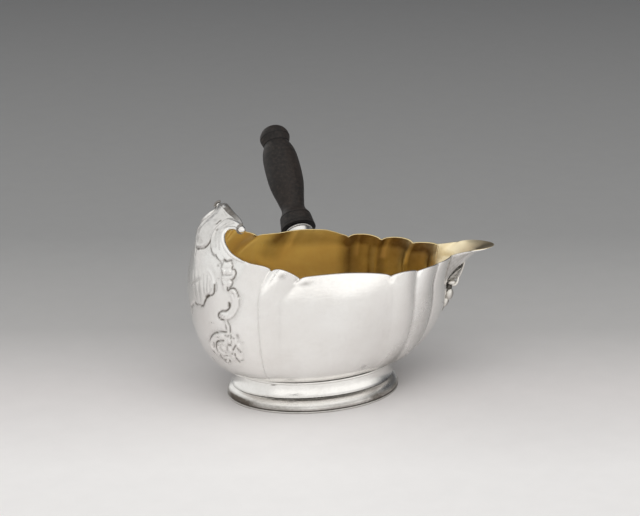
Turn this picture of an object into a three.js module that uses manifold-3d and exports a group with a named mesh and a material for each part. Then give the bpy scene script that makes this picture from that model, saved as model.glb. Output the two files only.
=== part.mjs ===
// Oval lobed sauce boat in raised silver, gilt inside, with a hood at the back,
// a beak spout, an oval foot and a turned blackened-wood side handle.
// Units mm, +Z up, +X towards the spout, the handle points to +Y.
// Origin: centre of the bounding box in plan, on the surface that the foot stands on.
import * as THREE from 'three';
import Module from 'manifold-3d';

const wasm = await Module();
wasm.setup();

// ---------------------------------------------------------------- driving dimensions
const SHEET = 1.0;            // thickness of the raised bowl sheet
const SPOUT_SHEET = 0.9;      // thickness of the spout sheet at its tip
const GAP = 0.3;              // clearance kept between neighbouring pieces
const JOINT_Z = 17.8;         // height of the joint between bowl and foot
const JOINT_A = 49.0;         // joint oval, half length
const JOINT_B = 32.0;         // joint oval, half width
const BOTTOM_SAG = 2.6;       // the bowl floor hangs this much inside the foot
const FOOT_A = 54.0;          // foot oval at the base, half length
const FOOT_B = 38.9;          // foot oval at the base, half width
const FOOT_TURN = -3.5;       // the foot is soldered slightly askew: turn in degrees
const FOOT_SHIFT = [-2.0, -1.9];   // and its base stands this far from the middle of the joint
const COLLAR_FOOT = 7.7;      // lower edge of the collar
const HANDLE_YAW = 3.1;       // handle direction, degrees from +Y towards +X
const HANDLE_PITCH = 38;      // handle direction, degrees above level
const HANDLE_AT = [10.3, 42.9, 63.5];   // where the handle axis meets the far wall
const SOCKET_LENGTH = 28;     // wall to the mouth of the socket, along the axis
const PIN_R = 0.8;            // nail through socket and tenon
const NOTCH = { x: -55.5, z: 109.7, rx: 8.8, rz: 7.6 };   // C-shaped opening beside the hood
const SEAM = { x: 77.6, z: 45, lean: 0.237 };               // spout seam, in side view
const ORIGIN_SHIFT = [-19.63, -42.75, 0];                // from foot centre to box centre

// ---------------------------------------------------------------- interpolation
function solveSpline(t, p) {
  const n = t.length, h = [];
  for (let i = 0; i < n - 1; i++) h.push(t[i + 1] - t[i]);
  const M = new Array(n).fill(0), c = new Array(n).fill(0), d = new Array(n).fill(0);
  for (let i = 1; i < n - 1; i++) {
    const a = h[i - 1], b = 2 * (h[i - 1] + h[i]);
    const r = 6 * ((p[i + 1] - p[i]) / h[i] - (p[i] - p[i - 1]) / h[i - 1]);
    const m = b - a * c[i - 1];
    c[i] = h[i] / m;
    d[i] = (r - a * d[i - 1]) / m;
  }
  for (let i = n - 2; i > 0; i--) M[i] = d[i] - c[i] * M[i + 1];
  return (x) => {
    let i = 0;
    while (i < n - 2 && x >= t[i + 1]) i++;
    const a = t[i + 1] - x, b = x - t[i], hh = h[i];
    return M[i] * a * a * a / (6 * hh) + M[i + 1] * b * b * b / (6 * hh)
      + (p[i] / hh - M[i] * hh / 6) * a + (p[i + 1] / hh - M[i + 1] * hh / 6) * b;
  };
}
function pchip(t, p, level = true) {
  const n = t.length, h = [], d = [], m = new Array(n).fill(0);
  for (let i = 0; i < n - 1; i++) { h.push(t[i + 1] - t[i]); d.push((p[i + 1] - p[i]) / h[i]); }
  for (let i = 1; i < n - 1; i++) if (d[i - 1] * d[i] > 0) {
    const w1 = 2 * h[i] + h[i - 1], w2 = h[i] + 2 * h[i - 1];
    m[i] = (w1 + w2) / (w1 / d[i - 1] + w2 / d[i]);
  }
  if (!level) { m[0] = d[0]; m[n - 1] = d[n - 2]; }
  return (v) => {
    let i = 0;
    while (i < n - 2 && v >= t[i + 1]) i++;
    const x = (v - t[i]) / h[i];
    return (1 + 2 * x) * (1 - x) ** 2 * p[i] + x * (1 - x) ** 2 * h[i] * m[i]
      + x * x * (3 - 2 * x) * p[i + 1] + x * x * (x - 1) * h[i] * m[i + 1];
  };
}
// smooth oval through near-side points (y <= 0), first and last on the long axis
function outline(pts) {
  const n = pts.length;
  const q = [[pts[2][0], -pts[2][1]], [pts[1][0], -pts[1][1]], ...pts,
    [pts[n - 2][0], -pts[n - 2][1]], [pts[n - 3][0], -pts[n - 3][1]]];
  const t = [0];
  for (let i = 1; i < q.length; i++) t.push(t[i - 1] + Math.hypot(q[i][0] - q[i - 1][0], q[i][1] - q[i - 1][1]) ** 0.75);
  const sx = solveSpline(t, q.map((a) => a[0])), sy = solveSpline(t, q.map((a) => a[1]));
  const idx = pchip(pts.map((_, i) => i), t.slice(2, t.length - 2), false);
  return (w) => { const u = idx(w); return [sx(u), sy(u)]; };
}

// ---------------------------------------------------------------- bowl and spout surface
// Stations run from the back centre line (0) round the near side to the spout tip (13).
// 3 hood side, 4 first crease, 5 second crease, 6 broad panel, 7 8 9 creases, 10 spout seam.
const FOOT_ANGLE = [180, 168, 157, 146, 134, 129, 98, 65, 43, 23, 9, 6, 3, 0];
const BELLY = [[-79.3, 0], [-77, -13], [-71.5, -25], [-62.5, -34.5], [-50, -41], [-37.5, -43.4], [0, -44.8],
  [34.6, -40.3], [52.5, -33], [68.5, -22.5], [80.8, -12.0], [83.8, -8.4], [85.8, -4.3], [86.5, 0]];
const BELLY_Z = [68, 68, 69, 72, 76, 76, 62, 66, 66, 64, 62, 60, 58, 57];
const RIM = [[-55.5, 0, 125.5], [-54, -10, 122.5], [-52.5, -20, 117.5], [-55.5, -36, 97.8], [-41.2, -39, 95],
  [-23.9, -41.3, 88.6], [6, -39.6, 84.6], [35.3, -37.9, 81.8], [55.2, -31, 80.2], [73, -20.4, 79.5],
  [85.3, -12.2, 80], [98, -10.1, 80.8], [110, -8.5, 80.4], [119, 0, 79.8]];
const DOME = [1, 1, 0.9, 0.5, 0.2, 0, 0, 0, 0, 0, 0, 0, 0, 0];
const FLARE = [2, 2, 2, 2, 1.8, 1.35, 2, 2, 2, 2, 2, 2, 1.9, 1.9];
const BEAK_LIFT = 2.0;    // the beak grows shallow towards its tip
const HOOD_FLAT = 0.16;   // the back of the hood runs straight up to its crest
// the far rim is not quite the near one's mirror image: height difference by station
const FAR_W = [4, 4.3, 4.6, 4.8, 5, 5.3, 5.5, 5.7, 5.9, 6.1, 6.45, 6.65, 6.85, 7.1, 7.4];
const FAR_DZ = [0, -1.5, -2.4, -1.4, -0.3, -0.7, -0.5, 0.5, 1.3, 1.7, 1.8, 1.0, 0.2, 0.3, 0];
const LOWER = [2, 2, 2, 2.05, 2.1, 2.1, 2.1, 1.9, 2, 2.1, 2.1, 2.1, 2.1, 2.1];
// lobes between creases: from, to, swell at rim, belly and foot, rise of the rim, sharpness, half lobe
const LOBES = [[3, 4, 1.2, 1.0, 0.3, 4.4, 0.45, 0.5], [4, 5, 2.4, 0.8, 0, 3.3, 0.7, 0], [5, 7, 0.6, 0.6, 0.3, 3.6, 0.55, 0],
  [7, 8, 1.7, 1.7, 0.8, 2.3, 0.7, 0], [8, 9, 3.0, 2.4, 1.0, 1.7, 0.7, 0], [9, 10, 2.0, 1.8, 0.8, 0.4, 0.7, 0]];
const LAST = 13;
const st = FOOT_ANGLE.map((_, i) => i);
const fAngle = pchip(st, FOOT_ANGLE, false), fBelly = outline(BELLY), fBellyZ = pchip(st, BELLY_Z);
const fRim = outline(RIM), fRimZ = pchip(st, RIM.map((r) => r[2]));
const fDome = pchip(st, DOME), fFlare = pchip(st, FLARE), fLower = pchip(st, LOWER);
const clamp = (v, a, b) => Math.min(b, Math.max(a, v));
const fFar = pchip(FAR_W, FAR_DZ);
const smooth = (a, b, v) => { const t = clamp((v - a) / (b - a), 0, 1); return t * t * (3 - 2 * t); };

// w: station, h: 0 foot joint, 1 belly, 2 rim; the near side, y <= 0
function wallPoint(w, h) {
  const hl = clamp(h, 0, 1), hu = clamp(h - 1, 0, 1), half = Math.PI / 2;
  let swell = 0, rise = 0;
  for (const [a, b, ar, am, af, dz, e, s0] of LOBES) {
    let f = 0;
    if (w >= a && w <= b) { const s = s0 + (1 - s0) * (w - a) / (b - a); f = clamp(4 * s * (1 - s), 0, 1) ** e; }
    else if (s0 === 0.5 && w < a) f = (w / a) ** 2;
    else continue;
    let A = h > 1 ? am + (ar - am) * hu : af + (am - af) * Math.sin(hl * half);
    if (a === 4 && h <= 1) A = am * clamp((hl - 0.3) / 0.7, 0, 1) ** 1.5;
    swell += A * f; rise += dz * f;
  }
  const e = 1e-3;
  const p0 = fBelly(clamp(w - e, 0, LAST)), p1 = fBelly(clamp(w + e, 0, LAST));
  const tx = p1[0] - p0[0], ty = p1[1] - p0[1], tl = Math.hypot(tx, ty);
  const nx = ty / tl, ny = -tx / tl;
  const m = fBelly(w), zm = fBellyZ(w);
  let x, y, z;
  if (h > 1) {
    const r = fRim(w), zr = fRimZ(w) + rise, k = fDome(w);
    const tt = (1 - k) * hu + k * Math.sin(hu * half);
    const flat = Math.sin(Math.PI * clamp((hu - 0.5) / 0.5, 0, 1)) ** 2;
    const u = (1 - k) * hu ** fFlare(w) + k * (1 - Math.cos(hu * half) + HOOD_FLAT * flat);
    x = m[0] + (r[0] - m[0]) * u; y = m[1] + (r[1] - m[1]) * u; z = zm + (zr - zm) * tt;
    z += BEAK_LIFT * Math.sin(Math.PI * clamp((hu - 0.62) / 0.38, 0, 1)) * smooth(10.4, 11.6, w);
  } else {
    const ph = fAngle(w) * Math.PI / 180, fx = JOINT_A * Math.cos(ph), fy = -JOINT_B * Math.sin(ph);
    const th = hl * half, q = 2 / fLower(w), u = Math.sin(th) ** q;
    x = fx + (m[0] - fx) * u; y = fy + (m[1] - fy) * u; z = zm - (zm - JOINT_Z) * Math.cos(th) ** q;
  }
  x += nx * swell; y += ny * swell;
  if (w <= 0 || w >= LAST) y = 0;
  return new THREE.Vector3(x, y, z);
}
// whole loop: 0..13 near side, 13..26 far side
function loopPoint(w, h) {
  if (w < 0) { const p = wallPoint(-w, h); p.y = -p.y; return p; }
  if (w > LAST) {
    const ws = 2 * LAST - w, p = wallPoint(ws, h);
    p.y = -p.y;
    if (ws > FAR_W[0] && ws < FAR_W[FAR_W.length - 1]) p.z += fFar(ws) * smooth(1.45, 2, h);
    return p;
  }
  return wallPoint(w, h);
}
function frameAt(w, h) {
  const e = 2e-3, ha = Math.max(0, h - e), hb = Math.min(2, h + e);
  const tw = loopPoint(w + e, h).sub(loopPoint(w - e, h)).normalize();
  const th = loopPoint(w, hb).sub(loopPoint(w, ha)).normalize();
  return { p: loopPoint(w, h), th, n: new THREE.Vector3().crossVectors(tw, th).normalize() };
}
// point at a distance off the outer face along its normal (negative: into the sheet);
// towards the rim it slides along the wall so that the rim stays level
function offPoint(w, h, d) {
  const { p, th, n } = frameAt(w, h), ws = w > LAST ? 2 * LAST - w : Math.abs(w);
  const q = p.clone().addScaledVector(n, d);
  const k = smooth(1.3, 2, h) * smooth(3, 4, ws);
  if (k > 0 && th.z > 0.3) q.addScaledVector(th, -k * d * n.z / th.z);
  if (ws === 0 || ws === LAST) q.y = 0;
  return q;
}

// ---------------------------------------------------------------- mesh helpers
// rows of closed loops; a row may be one point (a pole); wrap joins last row to first
function loopSolid(rows, wrap = false) {
  const pos = [], idx = [], start = [];
  for (const r of rows) { start.push(pos.length / 3); for (const v of r) pos.push(v.x, v.y, v.z); }
  const R = rows.length, last = wrap ? R : R - 1;
  for (let r = 0; r < last; r++) {
    const a = rows[r], b = rows[(r + 1) % R], sa = start[r], sb = start[(r + 1) % R];
    const n = Math.max(a.length, b.length);
    for (let i = 0; i < n; i++) {
      const j = (i + 1) % n;
      if (a.length === 1) idx.push(sa, sb + j, sb + i);
      else if (b.length === 1) idx.push(sa + i, sa + j, sb);
      else idx.push(sa + i, sa + j, sb + i, sa + j, sb + j, sb + i);
    }
  }
  const g = new THREE.BufferGeometry();
  g.setAttribute('position', new THREE.Float32BufferAttribute(pos, 3));
  g.setIndex(idx);
  return g;
}
function toSolid(geometry, matrix) {
  const g = geometry.clone();
  if (matrix) g.applyMatrix4(matrix);
  const src = g.getAttribute('position'), index = g.index ? Array.from(g.index.array) : Array.from({ length: src.count }, (_, i) => i);
  const map = new Map(), verts = [], remap = [];
  for (let i = 0; i < src.count; i++) {
    const k = `${Math.round(src.getX(i) * 2e4)},${Math.round(src.getY(i) * 2e4)},${Math.round(src.getZ(i) * 2e4)}`;
    if (!map.has(k)) { map.set(k, verts.length / 3); verts.push(src.getX(i), src.getY(i), src.getZ(i)); }
    remap.push(map.get(k));
  }
  const tri = [];
  for (let i = 0; i < index.length; i += 3) {
    const a = remap[index[i]], b = remap[index[i + 1]], c = remap[index[i + 2]];
    if (a !== b && b !== c && a !== c) tri.push(a, b, c);
  }
  return new wasm.Manifold(new wasm.Mesh({ numProp: 3, vertProperties: new Float32Array(verts), triVerts: new Uint32Array(tri) }));
}
function fromSolid(solid) {
  const m = solid.getMesh(), g = new THREE.BufferGeometry();
  g.setAttribute('position', new THREE.Float32BufferAttribute(Array.from(m.vertProperties), 3));
  g.setIndex(Array.from(m.triVerts));
  return g;
}
const move = (x, y, z) => new THREE.Matrix4().makeTranslation(x, y, z);

// ---------------------------------------------------------------- bowl body
const COUNTS = [3, 3, 3, 4, 4, 5, 5, 5, 5, 4, 2, 2, 5];
const near = [];
COUNTS.forEach((c, i) => { for (let k = 0; k < c; k++) near.push(i + k / c); });
near.push(LAST);
const loop = [...near, ...near.slice(1, -1).reverse().map((w) => 2 * LAST - w)];
const floorRow = (b, dz) => loop.map((w) => {
  const p = loopPoint(w, 0);
  return new THREE.Vector3(p.x * b, p.y * b, JOINT_Z - BOTTOM_SAG * (1 - b * b) + dz);
});
const pole = (dz) => [new THREE.Vector3(0, 0, JOINT_Z - BOTTOM_SAG + dz)];
const sheetAt = (w) => { const ws = w > LAST ? 2 * LAST - w : w; return SHEET + (SPOUT_SHEET - SHEET) * smooth(10, 13, ws); };
const OUT_H = [0, 0.14, 0.3, 0.48, 0.66, 0.84, 1, 1.2, 1.4, 1.6, 1.8, 1.92, 2];
const IN_H = [2, 1.78, 1.5, 1.22, 0.95, 0.65, 0.35, 0];
const bodySolid = toSolid(loopSolid([
  pole(0), floorRow(0.4, 0), floorRow(0.75, 0),
  ...OUT_H.map((h) => loop.map((w) => loopPoint(w, h))),
  ...IN_H.map((h) => loop.map((w) => offPoint(w, h, -sheetAt(w)))),
  floorRow(0.75, SHEET), floorRow(0.4, SHEET), pole(SHEET)]));
// the same outside, filled, and grown by the clearance: it trims the pieces that sit against the wall
const trimSolid = (d, top) => toSolid(loopSolid([
  pole(-d), floorRow(0.75, -d), ...OUT_H.filter((h) => h <= top).map((h) => loop.map((w) => offPoint(w, h, d))),
  [new THREE.Vector3(60, 0, 120)]]));

// C-shaped openings beside the hood, cut straight across
const notch = new THREE.CylinderGeometry(1, 1, 160, 40);
const notchSolid = toSolid(notch, new THREE.Matrix4().makeTranslation(NOTCH.x, 0, NOTCH.z)
  .multiply(new THREE.Matrix4().makeScale(NOTCH.rx, 1, NOTCH.rz)));
// block in front of the spout seam
function seamBlock(shift) {
  const s = new THREE.Shape();
  const zb = SEAM.z + shift, xb = SEAM.x + shift * 1.03 + SEAM.lean * shift;
  s.moveTo(xb, zb); s.lineTo(150, zb); s.lineTo(150, 110); s.lineTo(xb + SEAM.lean * (110 - zb), 110); s.closePath();
  const g = new THREE.ExtrudeGeometry(s, { depth: 100, bevelEnabled: false });
  const slab = toSolid(g, new THREE.Matrix4().makeRotationX(Math.PI / 2).setPosition(0, 50, 0));
  const u = new THREE.Shape(), hw = 13.4 - shift, zc = 60;   // rounded foot of the seam, seen from the front
  u.moveTo(hw, 110); u.lineTo(hw, zc);
  for (let i = 1; i < 16; i++) u.lineTo(hw * Math.cos(Math.PI * i / 16), zc - (zc - zb) * Math.sin(Math.PI * i / 16) ** 0.9);
  u.lineTo(-hw, zc); u.lineTo(-hw, 110); u.closePath();
  const front = toSolid(new THREE.ExtrudeGeometry(u, { depth: 120, bevelEnabled: false }),
    new THREE.Matrix4().makeBasis(new THREE.Vector3(0, 1, 0), new THREE.Vector3(0, 0, 1), new THREE.Vector3(1, 0, 0)).setPosition(50, 0, 0));
  return slab.intersect(front);
}
// rolled lip of the hood and the two volutes that end it
function sweep(points, r, sides = 8, steps = 0) {
  const s = new THREE.Shape();
  for (let i = 0; i < sides; i++) {
    const a = 2 * Math.PI * i / sides;
    if (i) s.lineTo(r * Math.cos(a), r * Math.sin(a)); else s.moveTo(r, 0);
  }
  s.closePath();
  return toSolid(new THREE.ExtrudeGeometry(s, { steps: steps || points.length * 2, bevelEnabled: false, extrudePath: new THREE.CatmullRomCurve3(points) }));
}
const ball = (x, y, z, rx, ry, rz, ws = 12, hs = 8) => toSolid(new THREE.SphereGeometry(1, ws, hs),
  new THREE.Matrix4().makeTranslation(x, y, z).multiply(new THREE.Matrix4().makeScale(rx, ry, rz)));
const lipPoints = [];
for (let i = -8; i <= 8; i++) { const w = Math.abs(i) / 4, p = offPoint(w, 2, -0.6); if (i > 0) p.y = -p.y; lipPoints.push(p); }
let bowlSolid = bodySolid.subtract(notchSolid).subtract(seamBlock(-0.16))
  .add(sweep(lipPoints, 1.25, 8, 24));
for (const s of [-1, 1]) bowlSolid = bowlSolid.add(ball(-53.2, s * 20.6, 116.9, 2.5, 2.3, 2.5));
// chased rocaille of the hood, main strokes only: [station, height] pairs on the near side
const CHASED = [
  [[2.013, 1.96], [1.475, 1.89], [1.05, 1.835], [0.888, 1.75], [0.913, 1.645], [1.012, 1.55], [1.388, 1.475], [1.963, 1.45]],
  [[2.312, 1.29], [1.95, 1.18], [1.6, 1.125], [1.4, 1.075], [1.188, 1.015], [0.575, 0.995], [0.213, 0.96]],
  [[2.4, 1.535], [2.788, 1.6], [2.975, 1.505], [3.038, 1.345], [3.163, 1.175], [2.95, 0.975], [2.6, 0.94], [2.288, 0.98]],
  [[1.137, 0.59], [1.3, 0.695], [1.863, 0.805], [2.375, 0.84], [2.613, 0.795], [2.413, 0.72]]];
for (const stroke of CHASED) for (const far of [false, true]) {
  bowlSolid = bowlSolid.add(sweep(stroke.map(([w, h]) => offPoint(far ? 2 * LAST - w : w, h, -0.2)), 0.85, 5, Math.round(stroke.length * 1.6)));
}
const spoutSolid = bodySolid.intersect(seamBlock(0.16));

// ---------------------------------------------------------------- drop ornament under the spout
const leaf = new THREE.Shape();
[[84, 79], [97.6, 74.8], [97.0, 71], [95.9, 67], [94.7, 63.4], [93.6, 61.2], [92.2, 60.2], [84, 60.4]].forEach(([x, z], i) => (i ? leaf.lineTo(x, z) : leaf.moveTo(x, z)));
leaf.closePath();
const leafSolid = toSolid(new THREE.ExtrudeGeometry(leaf, { depth: 8.4, bevelEnabled: true, bevelSize: 0.6, bevelThickness: 1.2, bevelSegments: 2 }),
  new THREE.Matrix4().makeRotationX(Math.PI / 2).setPosition(0, 4.2, 0));
const leafFront = new THREE.Shape();   // outline of the leaf panel seen from the front
const LEAF_EDGE = [[5.2, 79], [5.6, 75], [4.9, 71], [4.0, 66.5], [3.6, 63], [2.6, 60.4]];   // [y, z]
leafFront.moveTo(0, 80);
for (const [y, z] of LEAF_EDGE) leafFront.lineTo(y, z);
for (const [y, z] of [...LEAF_EDGE].reverse()) leafFront.lineTo(-y, z);
leafFront.closePath();
const leafTrim = toSolid(new THREE.ExtrudeGeometry(leafFront, { depth: 40, bevelEnabled: false }),
  new THREE.Matrix4().makeBasis(new THREE.Vector3(0, 1, 0), new THREE.Vector3(0, 0, 1), new THREE.Vector3(1, 0, 0)).setPosition(70, 0, 0));
let dropSolid = leafSolid.intersect(leafTrim);
for (const d of [-1, 1]) {
  dropSolid = dropSolid
    .add(ball(90.6, d * 2.6, 59.0, 2.9, 2.5, 2.1))      // scroll under the leaf
    .add(ball(89.4, d * 2.0, 55.8, 2.3, 2.0, 2.7))      // neck
    .add(ball(88.8, d * 2.3, 51.0, 2.6, 2.3, 4.0))      // paired bulbs
    .add(ball(86.4, d * 1.2, 45.8, 2.3, 2.2, 3.6));
}
dropSolid = dropSolid.add(ball(84.2, 0, 41.4, 1.9, 1.7, 3.0));
dropSolid = dropSolid.subtract(trimSolid(GAP, 2));

// ---------------------------------------------------------------- oval foot rings
// profile rows: [half length, half width, z], closed on itself, outer side first going up;
// the turn and shift of the foot grow from its top edge down to the collar's lower edge
function ovalRing(profile, askew = true, n = 44) {
  return loopSolid(profile.map(([a, b, z]) => Array.from({ length: n }, (_, i) => {
    const t = 2 * Math.PI * i / n, x = a * Math.cos(t), y = b * Math.sin(t);
    const k = askew ? clamp((17.2 - z) / (17.2 - COLLAR_FOOT), 0, 1) : 0, r = k * FOOT_TURN * Math.PI / 180;
    return new THREE.Vector3(x * Math.cos(r) - y * Math.sin(r) + k * FOOT_SHIFT[0], x * Math.sin(r) + y * Math.cos(r) + k * FOOT_SHIFT[1], z);
  })), true);
}
const wireProfile = (a, b, z, r, n = 6) => Array.from({ length: n }, (_, i) => {
  const t = 2 * Math.PI * i / n;
  return [a + r * Math.cos(t), b + r * Math.cos(t), z + r * Math.sin(t)];
});
const jointWire = ovalRing(wireProfile(JOINT_A + 0.9, JOINT_B + 0.9, 16.5, 0.85), false);
const collar = ovalRing([
  [51.0, 32.5, COLLAR_FOOT], [50.3, 31.95, 8.5], [49.6, 31.6, 9.8], [49.1, 31.4, 11.5], [48.8, 31.35, 14.0], [48.6, 31.4, 17.2],
  [47.4, 30.2, 17.2], [47.6, 30.15, 14.0], [47.9, 30.2, 11.5], [48.4, 30.45, 9.8], [49.0, 30.9, 8.5], [49.4, 31.1, COLLAR_FOOT]]);
const flange = ovalRing([
  [FOOT_A, FOOT_B, 1.6], [FOOT_A + 0.15, FOOT_B + 0.15, 2.9], [FOOT_A - 0.1, FOOT_B - 0.4, 4.2], [FOOT_A - 0.8, FOOT_B - 1.8, 5.4],
  [FOOT_A - 1.7, FOOT_B - 3.6, 6.4], [FOOT_A - 2.4, FOOT_B - 5.2, 7.0], [FOOT_A - 2.9, FOOT_B - 6.3, 7.4], [49.4, 31.0, 7.4],
  [49.4, 31.0, 6.4], [FOOT_A - 3.0, FOOT_B - 6.3, 6.2], [FOOT_A - 2.4, FOOT_B - 4.4, 5.4], [FOOT_A - 1.8, FOOT_B - 2.8, 4.4],
  [FOOT_A - 1.35, FOOT_B - 1.7, 3.4], [FOOT_A - 1.15, FOOT_B - 1.2, 2.6], [FOOT_A - 1.2, FOOT_B - 1.2, 1.6]]);
const baseWire = ovalRing([
  [FOOT_A - 2.1, FOOT_B - 2.1, 0], [FOOT_A - 0.1, FOOT_B - 0.1, 0], [FOOT_A + 0.3, FOOT_B + 0.3, 0.4], [FOOT_A + 0.3, FOOT_B + 0.3, 0.9],
  [FOOT_A - 0.1, FOOT_B - 0.1, 1.3], [FOOT_A - 2.1, FOOT_B - 2.1, 1.3]]);

// ---------------------------------------------------------------- handle, socket, plate, pin
const yaw = HANDLE_YAW * Math.PI / 180, pitch = HANDLE_PITCH * Math.PI / 180;
const axis = new THREE.Vector3(Math.cos(pitch) * Math.sin(yaw), Math.cos(pitch) * Math.cos(yaw), Math.sin(pitch));
const side = new THREE.Vector3().crossVectors(axis, new THREE.Vector3(0, 0, 1)).normalize();
const across = new THREE.Vector3().crossVectors(side, axis);
// local +Y runs along the handle, local +X is level
const handleFrame = new THREE.Matrix4().makeBasis(side, axis, across.clone()).setPosition(...HANDLE_AT);
if (handleFrame.determinant() < 0) handleFrame.makeBasis(side, axis, across.negate()).setPosition(...HANDLE_AT);
const lathe = (profile, seg = 22) => new THREE.LatheGeometry(profile.map(([r, y]) => new THREE.Vector2(r, y)), seg);
const S0 = SOCKET_LENGTH;

// patch of the far wall as a closed solid between two offsets
const patchCentre = { w: 2 * LAST - 6.24, h: 1.0 };
function patchSolid(rw, rh, d0, d1, n = 28, rings = [1, 0.66, 0.33]) {
  const ring = (k, d) => Array.from({ length: n }, (_, i) => {
    const t = 2 * Math.PI * i / n;
    return offPoint(patchCentre.w + k * rw * Math.cos(t), patchCentre.h + k * rh * Math.sin(t), d);
  });
  const rows = [[offPoint(patchCentre.w, patchCentre.h, d0)], ...rings.slice().reverse().map((k) => ring(k, d0)),
    ...rings.map((k) => ring(k, d1)), [offPoint(patchCentre.w, patchCentre.h, d1)]];
  const g = loopSolid(rows);
  return toSolid(g);
}
const socketTube = toSolid(lathe([
  [10.6, -9], [10.4, 1.5], [9.4, 3.2], [8.5, 6], [8.1, 9], [8.0, 13], [8.05, 19], [8.25, 24], [8.4, 26.2], [8.75, 26.7], [8.75, S0 - GAP],
  [7.6, S0 - GAP], [7.5, 24], [7.2, 18], [6.9, 13], [6.9, 9], [7.2, 6], [8.0, 3.2], [8.4, -9], [10.6, -9]]), handleFrame);
const woodProfile = [[0, S0 - 15], [5.6, S0 - 15], [6.4, S0 - 7], [6.9, S0 - 1.5], [7.1, S0], [10.9, S0], [11.35, S0 + 0.5], [11.1, S0 + 2.2], [10.75, S0 + 4.4],
  [10.5, S0 + 7], [10.2, S0 + 9], [9.5, S0 + 10.6], [8.6, S0 + 12.2], [7.9, S0 + 14], [7.65, S0 + 16], [7.75, S0 + 18], [8.15, S0 + 20], [8.75, S0 + 23],
  [9.35, S0 + 26], [10.05, S0 + 29], [10.65, S0 + 32], [11.15, S0 + 35], [11.45, S0 + 38.5], [11.65, S0 + 42.5], [11.7, S0 + 47], [11.6, S0 + 52],
  [11.4, S0 + 56], [10.95, S0 + 59.2], [10.3, S0 + 62], [9.2, S0 + 65], [8.5, S0 + 66.6], [8.6, S0 + 67.4], [9.1, S0 + 68.8], [9.8, S0 + 71.2], [9.9, S0 + 72.6],
  [9.4, S0 + 75], [8.3, S0 + 77.1], [6.6, S0 + 78.8], [4.4, S0 + 80], [2, S0 + 80.6], [0, S0 + 80.7]];
let socketSolid = socketTube.subtract(patchSolid(0.95, 0.8, -20, 1.4));
let woodSolid = toSolid(lathe(woodProfile, 24), handleFrame);
const pinAt = S0 - 8;
const pinBar = (r, half) => toSolid(new THREE.CylinderGeometry(r, r, 2 * half, 14),
  handleFrame.clone().multiply(new THREE.Matrix4().makeTranslation(0, pinAt, 0)).multiply(new THREE.Matrix4().makeRotationZ(Math.PI / 2)));
socketSolid = socketSolid.subtract(pinBar(PIN_R + GAP, 14));
woodSolid = woodSolid.subtract(pinBar(PIN_R + GAP, 14));
const pinSolid = pinBar(PIN_R, 9.1);
const plateSolid = patchSolid(0.30, 0.34, GAP, 1.1);

// ---------------------------------------------------------------- materials and scene graph
const silver = (name) => new THREE.MeshStandardMaterial({ name, color: 0xe4e2dd, roughness: 0.22, metalness: 1.0 });
const wood = new THREE.MeshStandardMaterial({ name: 'blackened_wood', color: 0x2b2725, roughness: 0.45, metalness: 0.0 });

const group = new THREE.Group();
group.name = 'sauce_boat';
group.position.set(...ORIGIN_SHIFT);
function piece(name, geometry, material, parent) {
  geometry.computeVertexNormals();
  const mesh = new THREE.Mesh(geometry, material);
  mesh.name = name;
  parent.add(mesh);
  return mesh;
}
const body = new THREE.Group(), foot = new THREE.Group(), handle = new THREE.Group();
group.add(body, foot, handle);
piece('bowl', fromSolid(bowlSolid), silver('silver_bowl'), body);
piece('spout', fromSolid(spoutSolid), silver('silver_spout'), body);
piece('spout_drop', fromSolid(dropSolid), silver('cast_silver'), body);
piece('joint_wire', jointWire, silver('silver_wire'), foot);
piece('foot_collar', collar, silver('silver_collar'), foot);
piece('foot_flange', flange, silver('silver_flange'), foot);
piece('foot_base_wire', baseWire, silver('silver_base_wire'), foot);
piece('socket_plate', fromSolid(plateSolid), silver('silver_plate'), handle);
piece('handle_socket', fromSolid(socketSolid), silver('silver_socket'), handle);
piece('handle', fromSolid(woodSolid), wood, handle);
piece('handle_pin', fromSolid(pinSolid), silver('silver_pin'), handle);

export default group;
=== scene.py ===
import math
import bpy
import numpy as np
from mathutils import Matrix, Vector


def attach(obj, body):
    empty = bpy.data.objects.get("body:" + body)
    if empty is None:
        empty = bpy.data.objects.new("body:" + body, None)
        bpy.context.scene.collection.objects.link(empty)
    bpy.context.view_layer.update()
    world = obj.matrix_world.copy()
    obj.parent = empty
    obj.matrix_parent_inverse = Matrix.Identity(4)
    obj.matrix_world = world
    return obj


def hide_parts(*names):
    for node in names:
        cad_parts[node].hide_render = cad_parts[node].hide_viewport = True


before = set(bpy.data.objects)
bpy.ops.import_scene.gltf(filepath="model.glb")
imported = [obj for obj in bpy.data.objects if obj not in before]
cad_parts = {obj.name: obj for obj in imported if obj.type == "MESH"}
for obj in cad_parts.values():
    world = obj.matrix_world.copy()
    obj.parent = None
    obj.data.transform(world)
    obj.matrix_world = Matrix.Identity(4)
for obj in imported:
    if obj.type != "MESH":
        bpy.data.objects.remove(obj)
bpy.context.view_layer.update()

# Oval lobed sauce boat in raised silver, gilt inside, hood at the back, beak spout,
# oval foot, turned blackened-wood side handle.
# Shapes are worked out in millimetres from the centre of the foot oval, +X to the spout,
# +Y to the handle, and moved by SHIFT into the row frame when a mesh is made.

# ---------------------------------------------------------------- driving dimensions
SHIFT = np.array([-19.63, -42.75, 0.0])
SHEET = 1.0
SPOUT_SHEET = 0.9
JOINT_Z = 17.8
JOINT_A, JOINT_B = 49.0, 32.0
BOTTOM_SAG = 2.6
FOOT_A, FOOT_B = 54.0, 38.9
FOOT_TURN, FOOT_SHIFT = math.radians(-3.5), (-2.0, -1.9)   # the foot is soldered slightly askew
COLLAR_FOOT = 7.7
NOTCH = (-55.5, 109.7, 8.8, 7.6)          # x, z, half length, half height
SEAM_X, SEAM_Z, SEAM_LEAN = 77.6, 45.0, 0.237
HANDLE_YAW, HANDLE_PITCH = 3.1, 38.0
HANDLE_AT = np.array([10.3, 42.9, 63.5])
SOCKET = 28.0
PIN_R = 0.8

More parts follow.
